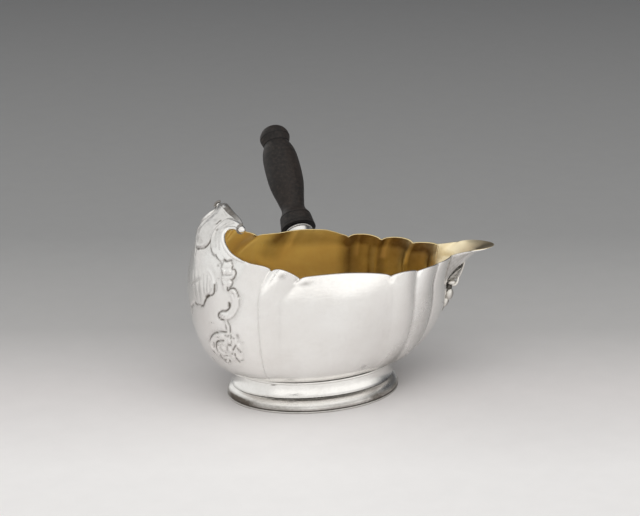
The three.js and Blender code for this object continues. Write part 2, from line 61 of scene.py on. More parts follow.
# ---------------------------------------------------------------- camera first
AZ, EL, DIST = math.radians(-19.4), math.radians(20.05), 1300.0
BACK = np.array([math.sin(AZ) * math.cos(EL), -math.cos(AZ) * math.cos(EL), math.sin(EL)])
RIGHT = np.array([math.cos(AZ), math.sin(AZ), 0.0])
UP = np.cross(BACK, RIGHT)
TARGET = np.array([3.0 * math.cos(AZ), 3.0 * math.sin(AZ), 85.2])
FOCAL = 2122.0                             # in widths of one picture unit, 640 across
EYE = TARGET + BACK * DIST

cam_data = bpy.data.cameras.new("camera")
cam = bpy.data.objects.new("camera", cam_data)
bpy.context.scene.collection.objects.link(cam)
cam_data.sensor_fit = "HORIZONTAL"
cam_data.sensor_width = 36.0
cam_data.lens = FOCAL / 640.0 * 36.0
cam_data.clip_start, cam_data.clip_end = 0.05, 50.0
cam.matrix_world = Matrix((
    (RIGHT[0], UP[0], BACK[0], (EYE[0] + SHIFT[0]) / 1000),
    (RIGHT[1], UP[1], BACK[1], (EYE[1] + SHIFT[1]) / 1000),
    (RIGHT[2], UP[2], BACK[2], EYE[2] / 1000),
    (0, 0, 0, 1)))
bpy.context.scene.camera = cam


def plane_of_view(p):
    """Flat layout coordinates of the near side, 640 units across, used to lay out the chasing."""
    d = p - EYE
    z = -(d @ BACK)
    return np.stack([320 + FOCAL * (d @ RIGHT) / z, 258 - FOCAL * (d @ UP) / z], -1)


# ---------------------------------------------------------------- interpolation
def natural_spline(t, p):
    t = np.asarray(t, float)
    p = np.asarray(p, float)
    n = len(t)
    h = np.diff(t)
    a = np.zeros((n, n))
    b = np.zeros((n,) + p.shape[1:])
    a[0, 0] = a[-1, -1] = 1
    for i in range(1, n - 1):
        a[i, i - 1], a[i, i], a[i, i + 1] = h[i - 1], 2 * (h[i - 1] + h[i]), h[i]
        b[i] = 6 * ((p[i + 1] - p[i]) / h[i] - (p[i] - p[i - 1]) / h[i - 1])
    m = np.linalg.solve(a, b)

    def f(v):
        v = np.asarray(v, float)
        i = np.clip(np.searchsorted(t, v, side="right") - 1, 0, n - 2)
        e = (...,) + (None,) * (p.ndim - 1)
        aa, bb, hh = (t[i + 1] - v)[e], (v - t[i])[e], h[i][e]
        return (m[i] * aa ** 3 / (6 * hh) + m[i + 1] * bb ** 3 / (6 * hh)
                + (p[i] / hh - m[i] * hh / 6) * aa + (p[i + 1] / hh - m[i + 1] * hh / 6) * bb)
    return f


def pchip(t, p, level=True):
    t = np.asarray(t, float)
    p = np.asarray(p, float)
    h = np.diff(t)
    d = np.diff(p) / h
    m = np.zeros_like(p)
    for i in range(1, len(t) - 1):
        if d[i - 1] * d[i] > 0:
            w1, w2 = 2 * h[i] + h[i - 1], h[i] + 2 * h[i - 1]
            m[i] = (w1 + w2) / (w1 / d[i - 1] + w2 / d[i])
    if not level:
        m[0], m[-1] = d[0], d[-1]

    def f(v):
        v = np.asarray(v, float)
        i = np.clip(np.searchsorted(t, v, side="right") - 1, 0, len(t) - 2)
        x = (v - t[i]) / h[i]
        return ((1 + 2 * x) * (1 - x) ** 2 * p[i] + x * (1 - x) ** 2 * h[i] * m[i]
                + x * x * (3 - 2 * x) * p[i + 1] + x * x * (x - 1) * h[i] * m[i + 1])
    return f


def outline(pts):
    p = np.asarray(pts, float)
    flip = np.array([1, -1])
    q = np.array([p[2] * flip, p[1] * flip] + list(p) + [p[-2] * flip, p[-3] * flip])
    t = np.concatenate([[0], np.cumsum(np.linalg.norm(np.diff(q, axis=0), axis=1) ** 0.75)])
    s = natural_spline(t, q)
    idx = pchip(np.arange(len(p)), t[2:-2], False)
    return lambda w: s(idx(w))


def smooth(a, b, v):
    t = np.clip((np.asarray(v, float) - a) / (b - a), 0, 1)
    return t * t * (3 - 2 * t)


def unit(v):
    return v / np.maximum(np.linalg.norm(v, axis=-1, keepdims=True), 1e-12)


# ---------------------------------------------------------------- wall surface of bowl and spout
FOOT_ANGLE = [180, 168, 157, 146, 134, 129, 98, 65, 43, 23, 9, 6, 3, 0]
BELLY = [[-79.3, 0], [-77, -13], [-71.5, -25], [-62.5, -34.5], [-50, -41], [-37.5, -43.4], [0, -44.8],
         [34.6, -40.3], [52.5, -33], [68.5, -22.5], [80.8, -12.0], [83.8, -8.4], [85.8, -4.3], [86.5, 0]]
BELLY_Z = [68, 68, 69, 72, 76, 76, 62, 66, 66, 64, 62, 60, 58, 57]
RIM = [[-55.5, 0, 125.5], [-54, -10, 122.5], [-52.5, -20, 117.5], [-55.5, -36, 97.8], [-41.2, -39, 95],
       [-23.9, -41.3, 88.6], [6, -39.6, 84.6], [35.3, -37.9, 81.8], [55.2, -31, 80.2], [73, -20.4, 79.5],
       [85.3, -12.2, 80], [98, -10.1, 80.8], [110, -8.5, 80.4], [119, 0, 79.8]]
DOME = [1, 1, 0.9, 0.5, 0.2, 0, 0, 0, 0, 0, 0, 0, 0, 0]
FLARE = [2, 2, 2, 2, 1.8, 1.35, 2, 2, 2, 2, 2, 2, 1.9, 1.9]
LOWER = [2, 2, 2, 2.05, 2.1, 2.1, 2.1, 1.9, 2, 2.1, 2.1, 2.1, 2.1, 2.1]
LOBES = [(3, 4, 1.2, 1.0, 0.3, 4.4, 0.45, 0.5), (4, 5, 2.4, 0.8, 0, 3.3, 0.7, 0), (5, 7, 0.6, 0.6, 0.3, 3.6, 0.55, 0),
         (7, 8, 1.7, 1.7, 0.8, 2.3, 0.7, 0), (8, 9, 3.0, 2.4, 1.0, 1.7, 0.7, 0), (9, 10, 2.0, 1.8, 0.8, 0.4, 0.7, 0)]
BEAK_LIFT, HOOD_FLAT = 2.0, 0.16
# the far rim is not quite the near one's mirror image: height difference by station
FAR_W = [4, 4.3, 4.6, 4.8, 5, 5.3, 5.5, 5.7, 5.9, 6.1, 6.45, 6.65, 6.85, 7.1, 7.4]
FAR_DZ = [0, -1.5, -2.4, -1.4, -0.3, -0.7, -0.5, 0.5, 1.3, 1.7, 1.8, 1.0, 0.2, 0.3, 0]
LAST = 13
ST = np.arange(14)
f_angle, f_belly, f_belly_z = pchip(ST, FOOT_ANGLE, False), outline(BELLY), pchip(ST, BELLY_Z)
f_rim, f_rim_z = outline([r[:2] for r in RIM]), pchip(ST, [r[2] for r in RIM])
f_dome, f_flare, f_lower, f_far = pchip(ST, DOME), pchip(ST, FLARE), pchip(ST, LOWER), pchip(FAR_W, FAR_DZ)


def wall(w, h):
    """w: station 0..13 on the near side; h: 0 foot joint, 1 belly, 2 rim."""
    w, h = np.broadcast_arrays(np.asarray(w, float), np.asarray(h, float))
    hl, hu = np.clip(h, 0, 1), np.clip(h - 1, 0, 1)
    half = math.pi / 2
    swell, rise = np.zeros(w.shape), np.zeros(w.shape)
    for a, b, ar, am, af, dz, e, s0 in LOBES:
        inside = (w >= a) & (w <= b)
        s = s0 + (1 - s0) * (w - a) / (b - a)
        f = np.where(inside, np.clip(4 * s * (1 - s), 0, 1) ** e, 0)
        if s0 == 0.5:
            f = np.where(w < a, np.clip(w / a, 0, 1) ** 2, f)
        low = af + (am - af) * np.sin(hl * half)
        if a == 4:
            low = am * np.clip((hl - 0.3) / 0.7, 0, 1) ** 1.5
        swell = swell + np.where(h > 1, am + (ar - am) * hu, low) * f
        rise = rise + dz * f
    e = 1e-3
    t = unit(f_belly(np.clip(w + e, 0, LAST)) - f_belly(np.clip(w - e, 0, LAST)))
    nx, ny = t[..., 1], -t[..., 0]
    m, zm = f_belly(w), f_belly_z(w)
    r, zr, k = f_rim(w), f_rim_z(w) + rise, f_dome(w)
    tt = (1 - k) * hu + k * np.sin(hu * half)
    flat = np.sin(math.pi * np.clip((hu - 0.5) / 0.5, 0, 1)) ** 2
    u = (1 - k) * hu ** f_flare(w) + k * (1 - np.cos(hu * half) + HOOD_FLAT * flat)
    ph = np.radians(f_angle(w))
    fx, fy = JOINT_A * np.cos(ph), -JOINT_B * np.sin(ph)
    th, q = hl * half, 2 / f_lower(w)
    ul = np.sin(th) ** q
    up = h > 1
    x = np.where(up, m[..., 0] + (r[..., 0] - m[..., 0]) * u, fx + (m[..., 0] - fx) * ul) + nx * swell
    y = np.where(up, m[..., 1] + (r[..., 1] - m[..., 1]) * u, fy + (m[..., 1] - fy) * ul) + ny * swell
    lift = BEAK_LIFT * np.sin(math.pi * np.clip((hu - 0.62) / 0.38, 0, 1)) * smooth(10.4, 11.6, w)
    z = np.where(up, zm + (zr - zm) * tt + lift, zm - (zm - JOINT_Z) * np.cos(th) ** q)
    y = np.where((w <= 0) | (w >= LAST), 0, y)
    return np.stack([x, y, z], -1)


def loop(w, h):
    w = np.asarray(w, float)
    near = np.where(w < 0, -w, np.where(w > LAST, 2 * LAST - w, w))
    p = wall(near, h)
    far = (w < 0) | (w > LAST)
    p[..., 1] = np.where(np.broadcast_to(far, p[..., 1].shape), -p[..., 1], p[..., 1])
    lifted = (w > LAST) & (near > FAR_W[0]) & (near < FAR_W[-1])
    p[..., 2] += np.where(lifted, f_far(np.clip(near, FAR_W[0], FAR_W[-1])), 0.0) * smooth(1.45, 2, h)
    return p


def frame_at(w, h):
    w, h = np.broadcast_arrays(np.asarray(w, float), np.asarray(h, float))
    e = 2e-3
    tw = unit(loop(w + e, h) - loop(w - e, h))
    th = unit(loop(w, np.minimum(2, h + e)) - loop(w, np.maximum(0, h - e)))
    return loop(w, h), tw, th, unit(np.cross(tw, th))


def off(w, h, d):
    """Point at a distance off the outer face; near the rim it slides along the wall and stays level."""
    w, h, d = np.broadcast_arrays(np.asarray(w, float), np.asarray(h, float), np.asarray(d, float))
    p, tw, th, n = frame_at(w, h)
    ws = np.where(w > LAST, 2 * LAST - w, np.abs(w))
    k = smooth(1.3, 2, h) * smooth(3, 4, ws)
    k = np.where(th[..., 2] > 0.3, k, 0)
    slide = -k * d * n[..., 2] / np.maximum(th[..., 2], 0.3)
    q = p + n * d[..., None] + th * slide[..., None]
    q[..., 1] = np.where((ws == 0) | (ws == LAST), 0, q[..., 1])
    return q


# ---------------------------------------------------------------- mesh helpers
def grid_quads(rows, cols, closed=False, start=0, flip=False):
    r = np.arange(rows - 1)[:, None] * cols
    c = np.arange(cols if closed else cols - 1)[None, :]
    c2 = (c + 1) % cols
    q = np.stack([r + c, r + c2, r + cols + c2, r + cols + c], -1).reshape(-1, 4) + start
    return q[:, ::-1] if flip else q


def to_tris(q):
    return np.concatenate([q[:, [0, 1, 2]], q[:, [0, 2, 3]]])


def clip(v, t, f, extra=None):
    """Keeps the part of a triangle mesh where f <= 0. Returns vertices, triangles, extra values and the cut's segments."""
    f = np.where(np.abs(f) < 1e-6, -1e-6, f)
    inside = f <= 0
    count = inside[t].sum(1)
    keep = t[count == 3]
    cut_edges, new_tris, segs = {}, [], []
    v_new, e_new = [], []
    base = len(v)

    def cut(a, b):
        key = (a, b) if a < b else (b, a)
        if key not in cut_edges:
            s = f[a] / (f[a] - f[b])
            cut_edges[key] = base + len(v_new)
            v_new.append(v[a] + (v[b] - v[a]) * s)
            if extra is not None:
                e_new.append(extra[a] + (extra[b] - extra[a]) * s)
        return cut_edges[key]
    for tri in t[(count == 1) | (count == 2)]:
        k = inside[tri]
        if k.sum() == 1:
            i = int(np.argmax(k))
            a, b, c = tri[i], tri[(i + 1) % 3], tri[(i + 2) % 3]
            p, q = cut(a, b), cut(a, c)
            new_tris.append((a, p, q))
            segs.append((p, q))
        else:
            i = int(np.argmin(k))
            a, b, c = tri[i], tri[(i + 1) % 3], tri[(i + 2) % 3]
            p, q = cut(a, b), cut(a, c)
            new_tris += [(p, b, c), (p, c, q)]
            segs.append((p, q))
    allv = np.concatenate([v, np.array(v_new).reshape(-1, v.shape[1])])
    allt = np.concatenate([keep, np.array(new_tris, int).reshape(-1, 3)])
    alle = None if extra is None else np.concatenate([extra, np.array(e_new).reshape((-1,) + extra.shape[1:])])
    return allv, allt, alle, segs


def compact(v, t, *extras):
    used, inv = np.unique(t, return_inverse=True)
    return (v[used], inv.reshape(t.shape)) + tuple(None if e is None else e[used] for e in extras)


def chains(segs, v):
    """Ordered polylines through unordered segments."""
    nxt = {}
    for a, b in segs:
        if a != b:
            nxt.setdefault(a, []).append(b)
            nxt.setdefault(b, []).append(a)
    seen, out = set(), []
    for start in sorted(nxt, key=lambda k: (len(nxt[k]) != 1, k)):
        if start in seen:
            continue
        line, cur = [start], start
        seen.add(start)
        while True:
            step = [n for n in nxt[cur] if n not in seen]
            if not step:
                break
            cur = step[0]
            seen.add(cur)
            line.append(cur)
        if len(line) > 3:
            out.append(v[line])
    return out


def resample(p, step, closed=False):
    p = np.asarray(p, float)
    if closed:
        p = np.concatenate([p, p[:1]])
    d = np.concatenate([[0], np.cumsum(np.linalg.norm(np.diff(p, axis=0), axis=1))])
    n = max(2, int(round(d[-1] / step)) + 1)
    s = np.linspace(0, d[-1], n)
    q = np.stack([np.interp(s, d, p[:, i]) for i in range(p.shape[1])], -1)
    return q[:-1] if closed else q


def relax(p, rounds=2):
    p = p.copy()
    for _ in range(rounds):
        p[1:-1] = 0.25 * p[:-2] + 0.5 * p[1:-1] + 0.25 * p[2:]
    return p


def catmull(p, n=6):
    p = np.asarray(p, float)
    q = np.concatenate([[2 * p[0] - p[1]], p, [2 * p[-1] - p[-2]]])
    out = []
    for i in range(1, len(q) - 2):
        a, b, c, d = q[i - 1], q[i], q[i + 1], q[i + 2]
        for t in np.arange(n) / n:
            out.append(0.5 * (2 * b + (c - a) * t + (2 * a - 5 * b + 4 * c - d) * t * t + (3 * b - a - 3 * c + d) * t ** 3))
    return np.array(out + [p[-1]])


def tube(path, radius, sides=10, up=(0, 0, 1), flat=1.0, caps=True):
    """Tube along a path; radius may vary; flat squeezes it across 'up'."""
    p = np.asarray(path, float)
    n = len(p)
    r = np.broadcast_to(np.asarray(radius, float), (n,))
    t = unit(np.gradient(p, axis=0))
    ups = np.broadcast_to(np.asarray(up, float), (n, 3))
    s = unit(np.cross(t, ups))
    u = np.cross(s, t)
    a = np.arange(sides) * 2 * math.pi / sides
    ring = p[:, None] + s[:, None] * (np.cos(a)[None, :, None] * r[:, None, None]) \
        + u[:, None] * (np.sin(a)[None, :, None] * r[:, None, None] * flat)
    v = ring.reshape(-1, 3)
    f = to_tris(grid_quads(n, sides, closed=True))
    if caps:
        k = len(v)
        v = np.concatenate([v, p[:1] - t[:1] * r[0] * 0.6, p[-1:] + t[-1:] * r[-1] * 0.6])
        i = np.arange(sides)
        j = (i + 1) % sides
        f = np.concatenate([f, np.stack([j, i, np.full(sides, k)], 1),
                            np.stack([i + (n - 1) * sides, j + (n - 1) * sides, np.full(sides, k + 1)], 1)])
    return v, f


class Piece:
    """Collects triangles and writes one mesh object."""

    def __init__(self):
        self.v, self.t, self.m, self.p, self.uv, self.n = [], [], [], [], [], 0

    def add(self, v, t, mat=0, patina_and_shade=0.0, flip=False):
        v = np.asarray(v, float)
        t = np.asarray(t, int)
        if flip:
            t = t[:, ::-1]
        self.v.append(v)
        self.t.append(t + self.n)
        self.m.append(np.full(len(t), mat) if np.isscalar(mat) else np.asarray(mat))
        self.p.append(np.full(len(v), float(patina_and_shade)) if np.isscalar(patina_and_shade) else np.asarray(patina_and_shade, float))
        self.n += len(v)
        return self

    def write(self, name, mats, replaces=(), slot=None, sharp=None):
        v = (np.concatenate(self.v) + SHIFT) / 1000.0
        t = np.concatenate(self.t)
        m, p = np.concatenate(self.m), np.concatenate(self.p)
        a, b, c = v[t[:, 0]], v[t[:, 1]], v[t[:, 2]]
        ok = np.linalg.norm(np.cross(b - a, c - a), axis=1) > 1e-13
        t, m = t[ok], m[ok]
        me = bpy.data.meshes.new(name)
        me.vertices.add(len(v))
        me.vertices.foreach_set("co", v.astype(np.float32).ravel())
        me.loops.add(3 * len(t))
        me.loops.foreach_set("vertex_index", t.astype(np.int32).ravel())
        me.polygons.add(len(t))
        me.polygons.foreach_set("loop_start", np.arange(0, 3 * len(t), 3, dtype=np.int32))
        me.polygons.foreach_set("loop_total", np.full(len(t), 3, dtype=np.int32))
        me.polygons.foreach_set("material_index", m.astype(np.int32))
        me.polygons.foreach_set("use_smooth", np.ones(len(t), bool))
        me.update(calc_edges=True)
        me.validate()
        at = me.attributes.new("patina_and_shade", "FLOAT", "POINT")
        if len(p) == len(me.vertices):
            at.data.foreach_set("value", np.clip(p, 0, 1).astype(np.float32))
        for mat in mats:
            me.materials.append(mat)
        if sharp:
            me.set_sharp_from_angle(angle=math.radians(sharp))
        ob = bpy.data.objects.new(name, me)
        bpy.context.scene.collection.objects.link(ob)
        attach(ob, "root")
        if replaces:
            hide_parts(*replaces)
        return ob


# ---------------------------------------------------------------- materials
def nodes_of(name):
    mat = bpy.data.materials.new(name)
    mat.use_nodes = True
    nt = mat.node_tree
    bsdf = nt.nodes["Principled BSDF"]
    return mat, nt, bsdf


def link(nt, a, b):
    nt.links.new(a, b)


def noise(nt, coord, scale, detail=3.0, rough=0.5, distort=0.0, stretch=None, rot=None):
    n = nt.nodes.new("ShaderNodeTexNoise")
    n.inputs["Scale"].default_value = scale
    n.inputs["Detail"].default_value = detail
    n.inputs["Roughness"].default_value = rough
    n.inputs["Distortion"].default_value = distort
    src = coord
    if stretch is not None or rot is not None:
        mp = nt.nodes.new("ShaderNodeMapping")
        if stretch is not None:
            mp.inputs["Scale"].default_value = stretch
        if rot is not None:
            mp.inputs["Rotation"].default_value = rot
        link(nt, coord, mp.inputs["Vector"])
        src = mp.outputs["Vector"]
    link(nt, src, n.inputs["Vector"])
    return n.outputs["Fac"]


def ramp(nt, fac, stops):
    r = nt.nodes.new("ShaderNodeValToRGB")
    el = r.color_ramp.elements
    el[0].position, el[0].color = stops[0][0], tuple(stops[0][1]) + (1,)
    el[1].position, el[1].color = stops[-1][0], tuple(stops[-1][1]) + (1,)
    for pos, col in stops[1:-1]:
        e = el.new(pos)
        e.color = tuple(col) + (1,)
    link(nt, fac, r.inputs["Fac"])
    return r.outputs["Color"]


def math_node(nt, op, a, b=None, clamp=False):
    m = nt.nodes.new("ShaderNodeMath")
    m.operation = op
    m.use_clamp = clamp
    for i, x in enumerate((a, b)):
        if x is None:
            continue
        if isinstance(x, (int, float)):
            m.inputs[i].default_value = x
        else:
            link(nt, x, m.inputs[i])
    return m.outputs[0]


def mix_col(nt, fac, a, b, mode="MIX"):
    m = nt.nodes.new("ShaderNodeMix")
    m.data_type = "RGBA"
    m.blend_type = mode
    if isinstance(fac, (int, float)):
        m.inputs[0].default_value = fac
    else:
        link(nt, fac, m.inputs[0])
    for i, x in ((6, a), (7, b)):
        if isinstance(x, tuple):
            m.inputs[i].default_value = x + (1,)
        else:
            link(nt, x, m.inputs[i])
    return m.outputs[2]


def bump(nt, height, strength, distance, prev=None):
    b = nt.nodes.new("ShaderNodeBump")
    b.inputs["Strength"].default_value = strength
    b.inputs["Distance"].default_value = distance
    link(nt, height, b.inputs["Height"])
    if prev is not None:
        link(nt, prev, b.inputs["Normal"])
    return b.outputs["Normal"]


def silver(name, clean, dull, dark, rough, scratch=1.0, hammer=0.0, tarnish=0.5, chased=0.0):
    """Polished silver: cloudy tone, fine rubbed scratches, dark tarnish in the hollows and painted shade, both from the
    per-vertex darkness.
    """
    mat, nt, bsdf = nodes_of(name)
    co = nt.nodes.new("ShaderNodeTexCoord").outputs["Object"]
    at = nt.nodes.new("ShaderNodeAttribute")
    at.attribute_name = "patina_and_shade"
    at.attribute_type = "GEOMETRY"
    pat = at.outputs["Fac"]
    cloud = noise(nt, co, 38, 4, 0.6)
    fine = noise(nt, co, 420, 3, 0.6)
    tone = ramp(nt, cloud, [(0.35, clean), (0.68, dull)])
    speck = ramp(nt, fine, [(0.42, (1, 1, 1)), (0.8, (0.93, 0.925, 0.915))])
    tone = mix_col(nt, 0.6, tone, speck, "MULTIPLY")
    broken = math_node(nt, "MULTIPLY", pat, math_node(nt, "ADD", math_node(nt, "MULTIPLY", fine, 0.9), 0.62), True)
    col = mix_col(nt, broken, tone, dark)
    link(nt, col, bsdf.inputs["Base Color"])
    bsdf.inputs["Metallic"].default_value = 1.0
    scr1 = noise(nt, co, 900, 2, 0.7, 0.0, (0.06, 1, 1), (0.3, 0.2, 0.5))
    scr2 = noise(nt, co, 900, 2, 0.7, 0.0, (1, 0.05, 1), (0.9, -0.4, 0.2))
    scr = math_node(nt, "ADD", scr1, scr2)
    r = math_node(nt, "ADD", math_node(nt, "MULTIPLY", scr, 0.07), rough - 0.07)
    r = math_node(nt, "ADD", r, math_node(nt, "MULTIPLY", broken, tarnish), True)
    r = math_node(nt, "ADD", r, math_node(nt, "MULTIPLY", cloud, 0.06), True)
    link(nt, r, bsdf.inputs["Roughness"])
    nrm = bump(nt, scr, 0.05 * scratch, 0.0004)
    if hammer:
        nrm = bump(nt, noise(nt, co, 95, 2, 0.5), hammer, 0.0012, nrm)
    if chased:
        grain = math_node(nt, "MULTIPLY", noise(nt, co, 620, 2, 0.6), math_node(nt, "ADD", pat, 0.25))
        nrm = bump(nt, grain, chased, 0.0006, nrm)
    link(nt, nrm, bsdf.inputs["Normal"])
    return mat


def gilt(name, light, deep, worn, rough):
    """Fire gilding: warm cloudy gold, deeper in places, faint stirring marks."""
    mat, nt, bsdf = nodes_of(name)
    co = nt.nodes.new("ShaderNodeTexCoord").outputs["Object"]
    at = nt.nodes.new("ShaderNodeAttribute")
    at.attribute_name = "patina_and_shade"
    at.attribute_type = "GEOMETRY"
    pat = at.outputs["Fac"]
    cloud = noise(nt, co, 30, 5, 0.62, 0.4)
    streak = noise(nt, co, 160, 3, 0.6, 0.2, (1, 1, 0.12))
    tone = ramp(nt, cloud, [(0.36, light), (0.66, deep)])
    lines = ramp(nt, streak, [(0.56, (0, 0, 0)), (0.74, (1, 1, 1))])
    tone = mix_col(nt, math_node(nt, "MULTIPLY", lines, 0.22), tone, worn)
    # the per-vertex darkness gives real stains and, inside the bowl, painted shade
    stain_and_shade = math_node(nt, "MULTIPLY", pat, math_node(nt, "ADD", math_node(nt, "MULTIPLY", noise(nt, co, 75, 4, 0.6), 1.1), 0.45), True)
    col = mix_col(nt, stain_and_shade, tone, (deep[0] * 0.26, deep[1] * 0.22, deep[2] * 0.2))
    link(nt, col, bsdf.inputs["Base Color"])
    bsdf.inputs["Metallic"].default_value = 1.0
    scr = noise(nt, co, 700, 2, 0.7, 0.0, (1, 1, 0.05), (0.1, 0.15, 0))
    r = math_node(nt, "ADD", math_node(nt, "MULTIPLY", scr, 0.12), rough - 0.05)
    r = math_node(nt, "ADD", r, math_node(nt, "MULTIPLY", cloud, 0.12), True)
    link(nt, r, bsdf.inputs["Roughness"])
    nrm = bump(nt, scr, 0.04, 0.0004)
    nrm = bump(nt, noise(nt, co, 60, 2, 0.5), 0.16, 0.0014, nrm)
    link(nt, nrm, bsdf.inputs["Normal"])
    return mat


# ---------------------------------------------------------------- chasing on the hood
# Strokes are laid out in the flat picture plane of the near side, then carried onto the wall;
# the far side repeats them in mirror image.
_gw, _gh = np.linspace(0, 4.2, 421), np.linspace(0.05, 2, 391)
_gp = wall(_gw[:, None], _gh[None, :])
_gq = plane_of_view(_gp)
_gn = np.cross(np.gradient(_gp, axis=0), np.gradient(_gp, axis=1))
_front = ((EYE - _gp) * _gn).sum(-1) > 0


def on_wall(px):
    """(w, h) of layout points on the near side of the hood."""
    out = []
    for u, v in np.asarray(px, float):
        d = (_gq[..., 0] - u) ** 2 + (_gq[..., 1] - v) ** 2 + np.where(_front, 0, 1e6)
        i, j = np.unravel_index(np.argmin(d), d.shape)
        w, h = _gw[i], _gh[j]
        for _ in range(2):
            e = 1e-3
            q = plane_of_view(wall(np.array([w, w + e, w]), np.array([h, h, min(2, h + e) if h + e <= 2 else h - e])))
            eh = e if h + e <= 2 else -e
            jac = np.stack([(q[1] - q[0]) / e, (q[2] - q[0]) / eh], 1)
            if abs(np.linalg.det(jac)) < 60:
                break
            step = np.linalg.solve(jac, np.array([u, v]) - q[0])
            w, h = float(np.clip(w + np.clip(step[0], -0.02, 0.02), 0, 4.2)), float(np.clip(h + np.clip(step[1], -0.02, 0.02), 0.02, 2))
        out.append((w, h))
    return np.array(out)


def stroke3d(px, n=4):
    px = np.asarray(px, float)
    q = catmull(px, n) if len(px) > 2 else resample(px, 0.8)
    wh = on_wall(q)
    return wall(wh[:, 0], wh[:, 1])


def seg_distance(p, line):
    """Distance of points p (N,3) to a polyline, and how far along it (0..1)."""
    best = np.full(len(p), 1e9)
    along = np.zeros(len(p))
    n = len(line) - 1
    if n < 1:
        return np.linalg.norm(p - line[0], axis=1), along
    for i in range(n):
        a, b = line[i], line[i + 1]
        ab = b - a
        l2 = max(float(ab @ ab), 1e-12)
        t = np.clip(((p - a) @ ab) / l2, 0, 1)
        d = np.linalg.norm(p - (a + t[:, None] * ab), axis=1)
        m = d < best
        best[m] = d[m]
        along[m] = (i + t[m]) / n
    return best, along


def in_polygon(q, poly):
    x, y = q[:, 0], q[:, 1]
    inside = np.zeros(len(q), bool)
    n = len(poly)
    for i in range(n):
        x1, y1 = poly[i]
        x2, y2 = poly[(i + 1) % n]
        c = ((y1 > y) != (y2 > y)) & (x < (x2 - x1) * (y - y1) / (y2 - y1 + 1e-12) + x1)
        inside ^= c
    return inside


# raised panels: outline, height, edge width
CREST = [(230, 198), (226, 205), (224.5, 211), (228, 216.5), (226, 218.8), (222, 221.5), (217.8, 225.5), (214.6, 229.2),
         (212.4, 233), (210.9, 237.5), (209.3, 240.6), (207.6, 244.2), (204.8, 246.6), (202.2, 247.3), (199.8, 247.6),
         (198, 247.4), (196, 246.9), (193, 247.3), (188, 247.6), (176, 248), (176, 196)]
ARCH = [(244, 227), (238, 222.4), (234.6, 220.4), (230.4, 219), (226.4, 219.4), (222.4, 222.4), (218.4, 226), (215.2, 229.6), (213, 233.4),
        (211.5, 238), (210.9, 242.5), (211.2, 246.6), (212.4, 250), (212.6, 253.2), (215, 255.2), (217.2, 256.3), (218.6, 259.4), (221, 261.3), (222.3, 264),
        (223.8, 260.6), (225.6, 259.8), (227.4, 260.8), (230.4, 259.8), (234, 259.4), (240, 256), (240, 240)]
WING = [(214.8, 284), (214.6, 289), (213.6, 293), (211.4, 294.8), (208.8, 294.3), (206.9, 296.6), (205.5, 300.4), (204.2, 304),
        (202, 305.4), (199.6, 304), (196.8, 303.3), (195.4, 301.4), (193, 304), (190, 306.4), (178, 308), (178, 262), (196, 262), (206, 265),
        (211.4, 271.4), (214, 277.6)]
BUBBLE = [(222, 262), (224.8, 261.6), (230, 261.4), (232.6, 263.6), (233.2, 268), (235.2, 270.4), (235.6, 274.4), (233.6, 278.4),
          (232.4, 280.6), (232.2, 284.2), (229.6, 287.4), (225.4, 288), (222.4, 284), (221.6, 276), (221, 268)]
HEAD = [(226.6, 331.6), (217, 331.8), (212.6, 334.6), (210.4, 338.6), (210, 344), (212.6, 351), (219, 355), (226, 361.6), (231, 361.8),
        (236.8, 360), (240, 362.2), (243, 359), (242, 350), (238.6, 341), (234, 335)]
PANELS = [(CREST, 0.4, 0.7), (ARCH, 0.55, 0.6), (WING, 0.7, 0.8), (BUBBLE, 0.5, 0.6), (HEAD, 0.35, 0.9)]
